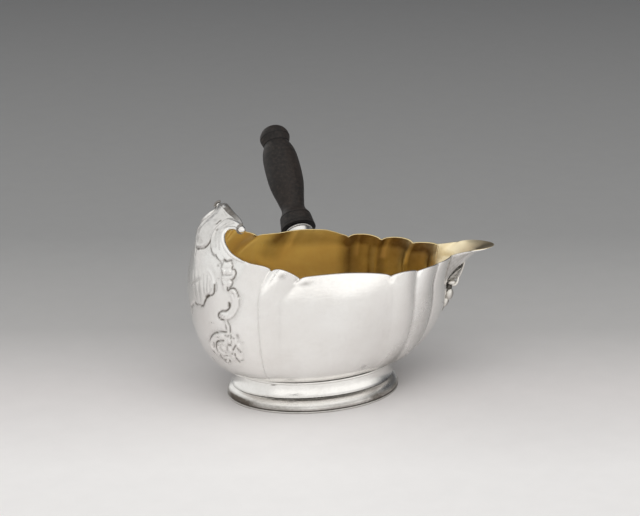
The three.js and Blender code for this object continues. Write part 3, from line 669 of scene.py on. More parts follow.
# ridges: points, radius mm, height mm
RIDGES = [
    ([(243.5, 226.4), (238, 223.3), (234.4, 221.2), (230.3, 219.9), (226.7, 220.3), (223, 223), (219.2, 226.4), (216, 230), (213.8, 233.8), (212.5, 238.2), (212, 243)], 1.0, 0.55),
    ([(212, 243), (212.6, 247.6), (214.2, 251.4), (216.4, 254.4), (219.6, 258), (222.4, 259.4)], 0.9, 0.45),
    ([(240, 226.6), (235.4, 225.6), (230.4, 226.4), (226.2, 230), (222.6, 235), (221.2, 241), (221.6, 248), (223.6, 254), (227, 258)], 0.8, 0.3),
    ([(236, 224.2), (230, 223.6), (224.8, 226.6), (220.6, 231.2), (218.6, 237), (218, 243), (218.6, 249), (221, 255)], 0.7, 0.25),
    ([(216, 249), (215.2, 243), (215.8, 237.4), (217.6, 232.4), (220.8, 228.2)], 0.6, 0.2),
    ([(203, 270), (205.2, 281), (205.8, 292)], 1.3, 0.1), ([(207.4, 270), (210.8, 280), (212.4, 291.4)], 1.3, 0.1),
    ([(199.6, 270), (201.4, 284), (203.3, 302)], 1.4, 0.1), ([(196, 271), (197, 286), (199.6, 301)], 1.3, 0.1),
    ([(192.6, 272), (193.6, 288), (195.6, 299)], 1.5, 0.1), ([(209.2, 277), (208.8, 285), (208.8, 292.6)], 0.9, 0.15),
    ([(210.4, 271.4), (213, 277.4), (214.2, 284), (213.4, 290.6)], 0.9, 0.35),
    ([(221, 262.6), (223.8, 268), (224, 276), (222.8, 284), (225.4, 288.8), (230, 290.2)], 0.8, 0.35),
    ([(233.6, 270.8), (234.2, 274.6), (232.6, 278.6)], 0.8, 0.5), ([(231.6, 263.6), (232.6, 266.8)], 0.8, 0.45),
    ([(229, 290), (232.8, 290.2), (235.4, 292.6), (237, 297), (237.2, 303.4), (235.4, 310), (231.6, 315.4), (227, 317.6), (223, 316.4), (221, 313.6)], 1.25, 0.9),
    ([(231, 294), (233.2, 298), (233.4, 304), (231.4, 309.6), (228, 313.4), (224.6, 314)], 0.9, 0.45),
    ([(221.3, 312.6), (223.8, 314.6), (228, 315.4)], 0.8, 0.6),
    ([(226.4, 321), (226.8, 324.6), (228.6, 328), (228.2, 331.4)], 0.8, 0.4),
    ([(225.4, 334.4), (220, 334.4), (215, 336), (212.4, 339.6), (211.7, 344), (213, 347.8), (216, 349.8)], 1.1, 0.8),
    ([(225, 337.6), (220.4, 338), (216, 339.6), (214.2, 343)], 0.7, 0.35),
    ([(225.6, 342.4), (221, 343), (218.6, 346), (219.2, 350), (222.4, 352.6)], 0.9, 0.6),
    ([(216, 353), (220, 355.4), (224, 358.4), (228.2, 361)], 0.9, 0.45),
    ([(231.4, 342), (233.4, 345.2), (231.2, 349), (231, 353)], 0.9, 0.45),
    ([(235.4, 338.6), (237.4, 343.4), (240.6, 348)], 0.9, 0.4), ([(234.4, 351.4), (237.4, 356), (241.4, 359)], 0.9, 0.45),
    ([(196, 246), (199, 246.6), (203, 245.6), (206.2, 243), (208.2, 239.6)], 0.7, 0.3),
    ([(224, 208), (219, 212), (213, 219), (206.6, 228), (203, 236)], 1.6, 0.25),
]
# grooves with tarnish: points, radius mm, depth mm, darkness
GROOVES = [
    ([(210, 240.2), (208.8, 243.2), (206.8, 245.8), (204.6, 247.6)], 0.75, 0.5, 1.0), ([(203.4, 248.3), (200.4, 248.7)], 0.6, 0.35, 0.8),
    ([(198.8, 249), (197.2, 248.8)], 0.75, 0.45, 1.0), ([(200, 248.6), (196, 248), (192.6, 248.8), (188, 249.2)], 0.5, 0.3, 0.5),
    ([(210.4, 247.2), (211.3, 249.4), (211.2, 252), (213, 254.6), (216, 256.2)], 0.6, 0.35, 0.75),
    ([(216.6, 255.4), (216.8, 257.6)], 0.7, 0.4, 0.9), ([(217.6, 258.4), (220, 261.6), (222, 264.6), (222.6, 267)], 0.5, 0.3, 0.6),
    ([(223.2, 265), (223.6, 260.6), (224.6, 259.4)], 0.45, 0.3, 0.6), ([(224.4, 259.6), (226.6, 261.5), (229.6, 260.6), (232, 260.2)], 0.6, 0.35, 0.95),
    ([(232, 262.6), (232.7, 264.2)], 0.5, 0.3, 0.8), ([(233, 266), (232.4, 269.4), (234.6, 269.4), (235.8, 271.8), (235.8, 274.6), (234.6, 277.6), (232.6, 279.8)], 0.5, 0.35, 0.95),
    ([(231.2, 279.6), (232.5, 281.4), (232.4, 284), (231, 286.6), (229.4, 287.8)], 0.5, 0.35, 0.85),
    ([(222, 275.2), (227, 275.3), (231.6, 274.9)], 0.4, 0.25, 0.6),
    ([(227.4, 287.4), (228, 290.6), (230.8, 288.6), (234, 288.3), (236.3, 290.3), (237.7, 293.4), (238.8, 297)], 0.55, 0.4, 0.95),
    ([(239, 297), (239.4, 303), (238, 309.6), (234.6, 315.4), (230.4, 318.8), (226.6, 320)], 0.5, 0.25, 0.42),
    ([(228.6, 302.8), (229.6, 305.4), (228.8, 308.8), (226, 310.9), (222.6, 310.9), (219.8, 312.3), (218.1, 315), (218.8, 317.5), (221, 319.3), (224.2, 320.3)], 0.62, 0.5, 1.0),
    ([(229.2, 303.8), (229, 306.2)], 0.95, 0.3, 1.0),
    ([(222.4, 313.8), (225.4, 317), (229, 316.8)], 0.35, 0.2, 0.45), ([(214.8, 284.4), (214.5, 289.6), (213.7, 293.4), (211.2, 295.5), (208.2, 295.6), (206.5, 297.6), (205.1, 301), (203.9, 304.5), (201.8, 306.2), (199, 304.7), (196.4, 304), (195.3, 302.2)], 0.55, 0.45, 0.95),
    ([(208.6, 295.6), (206.8, 296.8)], 1.15, 0.4, 1.0), ([(202.6, 306), (201, 306)], 0.8, 0.3, 1.0), ([(195.6, 302), (195.4, 303.6)], 0.7, 0.3, 0.9),
    ([(193.4, 304.6), (191, 307.4), (186, 309.4)], 0.6, 0.3, 0.6),
    ([(204, 274), (204.4, 284), (204.6, 293)], 0.4, 0.1, 0.2), ([(201.6, 276), (199.4, 288), (201.4, 300)], 0.4, 0.1, 0.2), ([(197.6, 276), (195.6, 288), (197.6, 299)], 0.4, 0.1, 0.2),
    ([(207.6, 275), (207.4, 284), (207.2, 291)], 0.45, 0.12, 0.24), ([(210.6, 281), (210.6, 288), (210, 293)], 0.4, 0.12, 0.24),
    ([(200, 279.4), (196, 281.6), (192.6, 284.4)], 0.9, 0.2, 0.3),
    ([(217, 224), (219.2, 221.8), (221, 220.7)], 0.65, 0.3, 0.9), ([(217.2, 230.6), (218, 230)], 0.8, 0.3, 0.75),
    ([(227.4, 227.2), (226.8, 228.6)], 0.5, 0.25, 0.6), ([(225.4, 224.6), (226.4, 224.2)], 0.5, 0.2, 0.5), ([(223, 231.6), (222.8, 233)], 0.45, 0.2, 0.4),
    ([(216.6, 233), (216, 240), (216.6, 247)], 0.4, 0.2, 0.4), ([(219.8, 233), (219.2, 241), (220, 250)], 0.4, 0.2, 0.4), ([(223.4, 228.4), (229.4, 224.8), (234.4, 224)], 0.35, 0.2, 0.4),
    ([(209.8, 238.4), (210.4, 241), (210.6, 245.6)], 0.5, 0.3, 0.55), ([(213, 229.4), (210.8, 233.4), (209.7, 237.2)], 0.5, 0.25, 0.35),
    ([(217.6, 265.8), (218.4, 265.6)], 0.7, 0.25, 0.5), ([(218, 278.8), (219, 278.6)], 0.7, 0.2, 0.35), ([(222, 281.4), (223.4, 284.6)], 0.7, 0.2, 0.35),
    ([(216.2, 282), (216.8, 288), (216.2, 291)], 0.6, 0.2, 0.35), ([(222.6, 272.4), (223.6, 275.6)], 0.8, 0.2, 0.35),
    ([(227.4, 320.8), (228.6, 323.6), (229.9, 326), (230.3, 329), (230.2, 332)], 0.5, 0.35, 0.85), ([(225.4, 325), (226.2, 328.8)], 0.6, 0.3, 0.65),
    ([(226.6, 332.4), (222, 332), (217, 332.4), (213.4, 334.2), (211, 337.6), (210.2, 341), (210.5, 344.6)], 0.58, 0.45, 0.95),
    ([(225.6, 335.4), (227.6, 336), (229, 335.6)], 0.6, 0.35, 0.85), ([(216, 337), (219.6, 336.6)], 0.35, 0.2, 0.4),
    ([(224, 340.7), (219.4, 340.6), (216.9, 342.2), (216.5, 345.6), (217.2, 349.2)], 0.58, 0.45, 1.0), ([(214.4, 341.8), (214.4, 346.6)], 0.4, 0.3, 0.7),
    ([(212.4, 348.8), (213.6, 351), (214.6, 352.6)], 0.85, 0.3, 0.95), ([(218.4, 348.6), (218, 351.6)], 0.45, 0.2, 0.5),
    ([(213, 358.6), (214, 359.6)], 1.0, 0.2, 0.45), ([(230.8, 334.6), (231.4, 336.6), (230.6, 338.6)], 0.5, 0.3, 0.7), ([(233.2, 337.6), (234.2, 338.4)], 0.6, 0.3, 0.7),
    ([(237.2, 335.4), (237.8, 337.6)], 1.0, 0.25, 0.6), ([(228.4, 344.4), (231, 344.6)], 0.65, 0.35, 1.0), ([(231.4, 340.4), (231.8, 343)], 0.4, 0.25, 0.6),
    ([(235.8, 345.2), (234.6, 347.4), (233.2, 349.8)], 0.6, 0.3, 0.8), ([(237.6, 348.4), (239.6, 350.4), (241, 352.2)], 0.6, 0.3, 0.8),
    ([(227.4, 346.4), (227.2, 350.4)], 0.45, 0.25, 0.6), ([(225.4, 352.3), (227, 352.5)], 0.5, 0.25, 0.6), ([(224, 355.4), (228, 355.4)], 0.45, 0.25, 0.65),
    ([(232.3, 352.6), (232.5, 354.2)], 0.5, 0.25, 0.7), ([(235.4, 353.2), (235.5, 355.4)], 0.55, 0.3, 0.8), ([(220.6, 354.4), (223, 357.4), (227, 359.4)], 0.6, 0.3, 0.65),
    ([(225.8, 360.2), (226.2, 362.2)], 0.65, 0.3, 0.9), ([(230, 360), (230.1, 362)], 0.6, 0.3, 0.85), ([(236.2, 357.4), (238, 360.2), (239.6, 362.2)], 0.6, 0.3, 0.8),
    ([(241.4, 360.4), (243, 360)], 0.6, 0.25, 0.55), ([(242, 342.8), (244, 342.9)], 0.5, 0.2, 0.3), ([(238, 341.4), (239.2, 341.8)], 0.6, 0.2, 0.4),
    ([(218.6, 344.4), (221.6, 344)], 0.4, 0.2, 0.4), ([(229.8, 356), (231, 356.4)], 0.4, 0.2, 0.5), ([(208.6, 322.8), (214, 322.6)], 0.5, 0.1, 0.2),
]
# small raised pearls: centre, radius mm, height mm
PEARLS = [((226, 265.6), 1.5, 0.5), ((230, 266.6), 1.4, 0.5), ((224.6, 270.6), 1.4, 0.45), ((229, 271.4), 1.6, 0.5), ((226.4, 278), 1.6, 0.5),
          ((230, 277.6), 1.3, 0.5), ((225.4, 283), 1.5, 0.5), ((229.4, 282.8), 1.5, 0.5), ((223.6, 348), 1.7, 0.7), ((229.6, 341), 1.3, 0.6),
          ((229.8, 349), 1.4, 0.6), ((224, 353.8), 1.1, 0.5), ((228, 361.2), 0.9, 0.6), ((233, 356.6), 1.1, 0.5), ((238.6, 345.6), 1.1, 0.5),
          ((234.6, 342), 1.2, 0.5), ((226, 246), 0.01, 0.0), ((222, 217), 1.6, 0.2), ((214, 222), 1.8, 0.25), ((207, 232), 1.8, 0.25),
          ((203, 240), 1.6, 0.3), ((199, 236), 2.0, 0.25), ((209, 226), 1.6, 0.2), ((216.4, 216), 1.6, 0.2)]


def chasing(p, q):
    """Relief in mm and tarnish for points p with layout coordinates q."""
    relief, dark, grain = np.zeros(len(p)), np.zeros(len(p)), np.zeros(len(p))
    for poly, height, edge in PANELS:
        box = (q[:, 0] > min(a for a, _ in poly) - 4) & (q[:, 0] < max(a for a, _ in poly) + 4) \
            & (q[:, 1] > min(b for _, b in poly) - 4) & (q[:, 1] < max(b for _, b in poly) + 4)
        idx = np.nonzero(box)[0]
        wh = on_wall(catmull(np.array(poly + [poly[0]], float), 2))
        line = wall(wh[:, 0], wh[:, 1])
        d = np.full(len(idx), 1e9)
        first = None
        for i in range(len(line) + 1):
            if i < len(line) and wh[i, 0] > 0.04:
                first = i if first is None else first
            elif first is not None:
                if i - first > 1:
                    d = np.minimum(d, seg_distance(p[idx], line[first:i])[0])
                first = None
        inside = in_polygon(q[idx], poly)
        e = smooth(0, edge, np.where(inside, d, 0))
        if poly is WING:
            e = e * smooth(262, 292, q[idx, 1])
        relief[idx] += height * e
    for pts, r, hgt in RIDGES:
        d, s = seg_distance(p, stroke3d(pts))
        ends = smooth(0, 0.12, s) * smooth(0, 0.12, 1 - s) * 0.6 + 0.4
        relief += hgt * ends * np.sqrt(np.clip(1 - (d / (1.25 * r)) ** 2, 0, 1)) ** 1.4
    for c, r, hgt in PEARLS:
        wh = on_wall([c])
        d = np.linalg.norm(p - wall(wh[0, 0], wh[0, 1]), axis=1)
        relief += hgt * np.sqrt(np.clip(1 - (d / r) ** 2, 0, 1))
    for pts, r, dep, dk in GROOVES:
        d, s = seg_distance(p, stroke3d(pts))
        g = np.exp(-(d / (r * 0.95)) ** 2)
        relief -= dep * g
        dark = np.maximum(dark, dk * np.exp(-(d / (r * 0.92)) ** 2))
    return relief, dark


def blur(a, n, times=2):
    for _ in range(times):
        for ax in (0, 1):
            pad = [(n, n) if i == ax else (0, 0) for i in range(a.ndim)]
            c = np.cumsum(np.pad(a, pad, mode="edge"), axis=ax)
            hi = np.take(c, np.arange(2 * n, c.shape[ax]), axis=ax)
            lo = np.concatenate([np.zeros_like(np.take(c, [0], axis=ax)), np.take(c, np.arange(0, c.shape[ax] - 2 * n - 1), axis=ax)], axis=ax)
            a = (hi - lo) / (2 * n + 1)
    return a


# ---------------------------------------------------------------- outside of the bowl
COLS = [26, 26, 26, 18, 14, 22, 22, 15, 15, 13, 6, 6, 6]
near_w = np.concatenate([np.linspace(i, i + 1, c, endpoint=False) for i, c in enumerate(COLS)] + [[LAST]])
loop_w = np.concatenate([near_w, 2 * LAST - near_w[-2:0:-1]])
N_NEAR = len(near_w)
LOW_ROWS, UP_ROWS = 80, 84
out_h = np.concatenate([np.linspace(0, 1, LOW_ROWS, endpoint=False), np.linspace(1, 2, UP_ROWS)])
P, TW, TH, NRM = frame_at(loop_w[None, :], out_h[:, None])

hood_cols = int(np.searchsorted(near_w, 3.75))
hp = P[:, :hood_cols].reshape(-1, 3)
hq = plane_of_view(hp)
rel, drk = chasing(hp, hq)
rel, drk = rel.reshape(len(out_h), hood_cols), drk.reshape(len(out_h), hood_cols)
fade = 1 - smooth(3.35, 3.72, near_w[:hood_cols])[None, :]
foot_fade = smooth(0.0, 0.12, out_h)[:, None]
pp = P[:, :hood_cols]
ham = np.sin(pp[..., 0] * 1.9 + 1.3 * np.sin(pp[..., 2] * 0.9)) * np.sin(pp[..., 2] * 1.7 + 0.8 * np.sin(pp[..., 1] * 1.1)) \
    + 0.6 * np.sin(pp[..., 1] * 2.7 + pp[..., 2] * 1.3)
rel = rel + 0.02 * ham * smooth(1.15, 1.5, out_h)[:, None] * (1 - smooth(2.6, 3.4, near_w[:hood_cols]))[None, :]
rel = rel * fade * foot_fade
cavity = np.clip((blur(rel, 3) - rel) * 1.3, 0, 1)
drk = np.clip(np.maximum(drk, cavity * 0.55), 0, 1) * fade
# the valleys between the lobes are soft folds below the rim
ws_all = np.where(loop_w > LAST, 2 * LAST - loop_w, loop_w)
wrap = np.concatenate([P[:, -12:], P, P[:, :12]], 1)
kern = np.exp(-(np.arange(-6, 7) / 3.0) ** 2)
soft = sum(k * wrap[:, 12 + j:12 + j + P.shape[1]] for j, k in zip(range(-6, 7), kern / kern.sum()))
amount = np.zeros(len(loop_w))
for s, k, spread in ((4, 0.55, 0.2), (5, 1.0, 0.45), (7, 1.0, 0.5), (8, 0.45, 0.2), (9, 0.3, 0.15)):
    amount = np.maximum(amount, k * np.exp(-((ws_all - s) / spread) ** 2))
P = P + (soft - P) * (amount[None, :] * (1 - smooth(1.7, 1.97, out_h))[:, None])[..., None]
relief = np.zeros(P.shape[:2])
dark = np.zeros(P.shape[:2])
relief[:, :hood_cols], dark[:, :hood_cols] = rel, drk
far_first = len(loop_w) - (hood_cols - 1)
relief[:, far_first:] = rel[:, 1:][:, ::-1]
dark[:, far_first:] = drk[:, 1:][:, ::-1]
# painted shade darkens the creases between the lobes; the deeper ones are also cut in a little
for s, depth in ((4, 0.16), (5, 0.05), (7, 0.03), (8, 0.16), (9, 0.26), (10, 0.32)):
    near_crease = np.exp(-((ws_all - s) / (0.035 if s > 5 else 0.05)) ** 2)
    run = smooth(0.05, 0.25, out_h) * (1 - 0.35 * smooth(1.2, 2, out_h))
    if s == 5:
        run = smooth(0.45, 0.8, out_h)
    dark = np.maximum(dark, depth * near_crease[None, :] * run[:, None])
    relief -= (0.1 if s > 7 or s == 4 else 0.0) * near_crease[None, :] * run[:, None]
# small dents, three under the near rim and one near the foot, each darkened; the dark spots under the rim are painted
# reflections
for w0, h0, rw, rh, dep, dk_ in ((4.5, 1.86, 0.10, 0.075, 0.05, 0.50), (5.27, 1.78, 0.12, 0.075, 0.05, 0.42), (4.97, 1.92, 0.05, 0.04, 0.03, 0.35), (6.64, 0.36, 0.06, 0.03, 0.1, 0.35)):
    g_ = np.exp(-((ws_all[None, :] - w0) / rw) ** 2 - ((out_h[:, None] - h0) / rh) ** 2) * (loop_w <= LAST)[None, :]
    relief -= dep * g_
    dark = np.maximum(dark, dk_ * g_)
# a grey bloom low on the lobes below the spout: painted reflection of the shaded floor
for w0, h0, rw, rh, k_ in ((7.75, 0.30, 0.50, 0.22, 0.48), (8.5, 0.62, 0.6, 0.34, 0.24)):
    dark = np.maximum(dark, k_ * np.exp(-((ws_all[None, :] - w0) / rw) ** 2 - ((out_h[:, None] - h0) / rh) ** 2))
# painted shade: the top of the hood is darker, and through the same mark a little duller, than the sides
dark = np.maximum(dark, 0.20 * smooth(1.32, 1.52, out_h)[:, None] * (1 - smooth(1.2, 1.9, ws_all))[None, :])
# painted shadow where the wall meets the foot wire, in the gap under the bowl's overhang
dark = np.maximum(dark, 0.45 * (1 - smooth(0.0, 0.05, out_h))[:, None] * np.ones_like(dark))
outer = P + NRM * relief[..., None]
outer[..., 1] = np.where((ws_all == 0)[None, :] | (ws_all == LAST)[None, :], 0, outer[..., 1])


def notch_field(p, w):
    x, z, rx, rz = NOTCH
    f = 1 - ((p[:, 0] - x) / rx) ** 2 - ((p[:, 2] - z) / rz) ** 2
    return np.where(w < 4.6, f, -1.0)


def seam_field(p, grow=0.0):
    """Positive in the spout, negative in the bowl."""
    front = p[:, 0] - (SEAM_X + SEAM_LEAN * (p[:, 2] - SEAM_Z))
    zc, hw = 60.0, 13.4
    z = np.clip((zc - p[:, 2]) / (zc - SEAM_Z), 0, 1)
    half = np.where(p[:, 2] > zc, hw, hw * np.cos(np.arcsin(np.clip(z, 0, 1) ** (1 / 0.9))))
    side = half - np.abs(p[:, 1])
    side = np.where(p[:, 2] < SEAM_Z, np.minimum(side, p[:, 2] - SEAM_Z), side)
    return np.minimum(front, side) + grow


# ---------------------------------------------------------------- materials used
M_SILVER = silver("silver_outside", (0.95, 0.94, 0.92), (0.88, 0.86, 0.835), (0.16, 0.14, 0.12), 0.2, 1.0, 0.10, 0.35, 0.25)
M_GILT = gilt("gilding", (0.98, 0.83, 0.46), (0.87, 0.68, 0.35), (0.99, 0.90, 0.64), 0.24)
M_PALE = gilt("gilding_pale", (0.98, 0.87, 0.62), (0.88, 0.72, 0.44), (1.0, 0.93, 0.76), 0.26)
M_CAST = silver("cast_silver", (0.88, 0.86, 0.82), (0.72, 0.69, 0.64), (0.11, 0.10, 0.085), 0.28, 1.0, 0.2, 0.4, 0.5)
M_FOOT = silver("silver_foot", (0.90, 0.885, 0.86), (0.80, 0.785, 0.755), (0.15, 0.13, 0.11), 0.17, 1.2, 0.06, 0.35, 0.2)

# ---------------------------------------------------------------- bowl shell
shell = Piece()
cols = len(loop_w)
tri = to_tris(grid_quads(len(out_h), cols, closed=True))
v = outer.reshape(-1, 3)
pat = dark.reshape(-1, 1)
wv = np.broadcast_to(ws_all[None, :], P.shape[:2]).reshape(-1, 1)
ex = np.concatenate([pat, wv], 1)
v, tri, ex, notch_segs = clip(v, tri, notch_field(v, ex[:, 1]), ex)
notch_lines = chains(notch_segs, v)
v, tri, ex, seam_segs = clip(v, tri, seam_field(v, 0.05), ex)
v, tri, ex = compact(v, tri, ex)
shell.add(v, tri, 0, ex[:, 0])
# floor, outside face
fr = np.array([1.0, 0.85, 0.7, 0.55, 0.4, 0.25, 0.1, 0.0])
base = P[0]
floor_pts = np.stack([np.stack([base[:, 0] * b, base[:, 1] * b, np.full(cols, JOINT_Z - BOTTOM_SAG * (1 - b * b))], -1) for b in fr])
shell.add(floor_pts.reshape(-1, 3), to_tris(grid_quads(len(fr), cols, closed=True, flip=True)), 0, 0.25)
# top edge of the wall, rounded, silver outside and gilt inside
rim_w = near_w[(near_w >= 3.0)]
rim_w = np.unique(np.concatenate([rim_w, np.linspace(3, 10.6, 230)]))
for side in (1, -1):
    ww = rim_w if side == 1 else 2 * LAST - rim_w
    p0, tw, th, n = frame_at(ww, 2.0)
    rows = []
    K = 8
    for k in range(K + 1):
        a = math.pi * k / K
        d = -0.5 * SHEET * (1 - math.cos(a))
        rows.append(off(ww, 2.0, d) + th * (0.42 * math.sin(a)))
    g = np.stack(rows)
    t = to_tris(grid_quads(K + 1, len(ww), flip=(side == -1)))
    gv = g.reshape(-1, 3)
    mat = np.tile(np.repeat((np.arange(K) >= 4).astype(int), len(ww) - 1), 2)
    keep = np.ones(len(t), bool)
    c = gv[t].mean(1)
    keep &= seam_field(c, 0.0) < 0
    shell.add(gv, t[keep], mat[keep], 0.05)

# ---------------------------------------------------------------- lip of the hood
def lip_grid():
    """Rolled band along the rim of the hood: a polished strip outside a crisp ridge, rounded over the edge, running a little way inside."""
    w = np.linspace(-2.05, 2.05, 205)
    a = np.abs(w)
    h_ridge = 1.862 + 0.045 * smooth(0.4, 1.6, a)
    prof = [(0.0, -0.05), (0.04, 0.25), (0.08, 0.55), (0.14, 0.52), (0.30, 0.34), (0.50, 0.26), (0.70, 0.30), (0.88, 0.42), (1.0, 0.50)]
    rows = []
    for s_, d_ in catmull(np.array(prof), 4):
        h = np.minimum(2.0, h_ridge + (2.0 - h_ridge) * s_)
        rows.append(off(w, h, np.full(len(w), d_)))
    p, tw, th, n = frame_at(w, 2.0)
    r = 0.5 * (0.5 + SHEET)
    for k in range(1, 13):
        ang = math.pi * k / 12
        rows.append(p + n * (0.5 - r * (1 - math.cos(ang))) + th * (r * 1.15 * math.sin(ang)))
    for k in range(1, 6):
        rows.append(off(w, np.full(len(w), 2.0 - 0.018 * k), np.full(len(w), -SHEET - 0.12 * (1 - k / 5) + 0.1 * (k == 5))))
    return np.stack(rows), w


lip, lip_w = lip_grid()
n_strip = 33
lip_pat = np.zeros(lip.shape[:2])
# painted shade: darker at the foot of the ridge and along the polished strip, most at the top of the hood
lip_pat[0:2] = 0.5
lip_pat[4:n_strip] = 0.34 + 0.42 * (1 - smooth(0.9, 1.9, np.abs(lip_w)))[None, :]
shell.add(lip.reshape(-1, 3), to_tris(grid_quads(lip.shape[0], lip.shape[1])), 0, lip_pat.ravel())

# rounded edge of the C-shaped openings, ending in a ball at the top
for line in notch_lines:
    line = relax(resample(line, 0.5), 6)
    if line[0, 2] < line[-1, 2]:
        line = line[::-1]
    s = 1 if line[:, 1].mean() > 0 else -1
    # a rounded band that sits over the cut edge, thickest at the back of the C
    q = relax(resample(line, 0.45), 3)
    nrm = unit(np.stack([(q[:, 0] - NOTCH[0]) / NOTCH[2] ** 2, np.zeros(len(q)), (q[:, 2] - NOTCH[1]) / NOTCH[3] ** 2], -1))
    out_dir = np.stack([np.zeros(len(q)), np.full(len(q), float(s)), np.zeros(len(q))], -1)
    k = np.linspace(0, 1, len(q))
    r = 0.95 + 0.35 * np.sin(np.pi * np.clip(k * 1.1, 0, 1)) - 0.35 * smooth(0.85, 1, k)
    centre_line = q + nrm * 0.35 - out_dir * 0.15
    v_, t_ = tube(centre_line, r, 14, up=out_dir, flat=0.95)
    shell.add(v_, t_, 0, 0.03)
for s in (-1, 1):
    c = np.array([-54.0, s * 23.3, 117.6])
    th_, ph_ = np.linspace(0, math.pi, 26), np.linspace(0, 2 * math.pi, 36, endpoint=False)
    b = np.stack([c[0] + 2.35 * np.sin(th_)[:, None] * np.cos(ph_)[None, :], c[1] + 2.2 * np.cos(th_)[:, None] * np.ones((1, 36)),
                  c[2] + 2.35 * np.sin(th_)[:, None] * np.sin(ph_)[None, :]], -1)
    shell.add(b.reshape(-1, 3), to_tris(grid_quads(26, 36, closed=True)), 0, 0.0)
    ang = np.radians(np.linspace(75, 290, 30))
    k = np.linspace(0, 1, 30)
    path = np.stack([c[0] + (3.1 - 0.5 * k) * np.cos(ang), np.full(30, c[1] - s * 0.5), c[2] + (3.1 - 0.5 * k) * np.sin(ang)], -1)
    v_, t_ = tube(path, 0.62 * (1 - 0.35 * k), 10, up=(0, 1, 0))
    shell.add(v_, t_, 0, 0.72)

ob_shell = shell.write("bowl_shell", [M_SILVER, M_GILT], ("bowl",), "silver")

# ---------------------------------------------------------------- gilt inside of the bowl
IN_COLS = [8, 8, 8, 9, 9, 16, 16, 12, 12, 10, 4, 4, 4]
in_near = np.concatenate([np.linspace(i, i + 1, c, endpoint=False) for i, c in enumerate(IN_COLS)] + [[LAST]])
in_w = np.concatenate([in_near, 2 * LAST - in_near[-2:0:-1]])
in_h = np.concatenate([np.linspace(2, 1, 40, endpoint=False), np.linspace(1, 0.0, 44)])
iws = np.where(in_w > LAST, 2 * LAST - in_w, in_w)
inner = off(in_w[None, :], in_h[:, None], -SHEET)
gv = inner.reshape(-1, 3)
gw = np.broadcast_to(iws[None, :], inner.shape[:2]).reshape(-1)
gt = to_tris(grid_quads(len(in_h), len(in_w), closed=True))
# painted shade: the gilding is darker under the far rim and on the far wall than on the near one, with long darker and
# brighter bands towards the spout
_hh = np.broadcast_to(in_h[:, None], inner.shape[:2]).reshape(-1)
_far = np.broadcast_to((in_w > LAST)[None, :], inner.shape[:2]).reshape(-1)
gp = 0.60 * smooth(6.72, 7.0, gw) * (1 - smooth(10.2, 10.6, gw)) + 0.48 * smooth(1.5, 1.78, _hh) * smooth(5.2, 5.6, gw)
gp += 0.48 * np.exp(-((gw - 5.6) / 0.16) ** 2) * smooth(1.05, 1.4, _hh)
for at, spread, k in ((7.3, 0.05, 0.5), (8.22, 0.10, 0.75), (9.0, 0.035, 0.5), (9.55, 0.06, 0.25), (5.85, 0.05, 0.35)):
    gp -= k * np.exp(-((gw - at) / spread) ** 2) * smooth(1.0, 1.25, _hh)
for at, spread, k in ((7.76, 0.08, 0.3), (9.9, 0.09, 0.5), (7.08, 0.05, 0.2)):
    gp += k * np.exp(-((gw - at) / spread) ** 2)
gp = (np.clip(gp, 0, 0.95) * np.where(_far, 1.0, 0.35))[:, None]
ex = np.concatenate([gp, gw[:, None]], 1)
gv, gt, ex, _ = clip(gv, gt, notch_field(gv, ex[:, 1]), ex)
gv, gt, ex, seam_in = clip(gv, gt, seam_field(gv, 0.05), ex)
gv, gt, ex = compact(gv, gt, ex)
inside = Piece()
inside.add(gv, gt, 0, ex[:, 0])
fb = off(in_w, 0.0, -SHEET)
floor_in = np.stack([np.stack([fb[:, 0] * b, fb[:, 1] * b, JOINT_Z - BOTTOM_SAG * (1 - b * b) + SHEET * (1 - b) + (fb[:, 2] - JOINT_Z) * b], -1)
                     for b in (1.0, 0.92, 0.84, 0.74, 0.62, 0.48, 0.34, 0.2, 0.08, 0.0)])
inside.add(floor_in.reshape(-1, 3), to_tris(grid_quads(10, len(in_w), closed=True)), 0, 0.0)
ob_in = inside.write("bowl_gilding", [M_GILT], ("bowl",))

# ---------------------------------------------------------------- spout
SPW = np.linspace(9.3, 16.7, 186)
SPH = np.concatenate([np.linspace(0.30, 1, 56, endpoint=False), np.linspace(1, 2, 60)])
sp_ws = np.where(SPW > LAST, 2 * LAST - SPW, SPW)
sheet = SHEET + (SPOUT_SHEET - SHEET) * smooth(10, 13, sp_ws)
so, _tw, _th, so_n = frame_at(SPW[None, :], SPH[:, None])
# leaf-like chased ground on the sides of the spout, next to the seam
panel = smooth(10.08, 10.2, sp_ws)[None, :] * (1 - smooth(11.25, 11.75, sp_ws))[None, :] * smooth(1.1, 1.3, SPH)[:, None] * (1 - smooth(1.93, 1.965, SPH))[:, None]
leaf_rel = 0.09 * np.sin(sp_ws[None, :] * 19 + SPH[:, None] * 7) * np.sin(SPH[:, None] * 33 + 2.4 * np.sin(sp_ws[None, :] * 9)) \
    + 0.05 * np.sin(sp_ws[None, :] * 41 - SPH[:, None] * 23)
so = so + so_n * (panel * (0.12 + leaf_rel))[..., None]
so[..., 1] = np.where((sp_ws == LAST)[None, :], 0, so[..., 1])
si = off(SPW[None, :], SPH[:, None], -sheet[None, :])
spout = Piece()
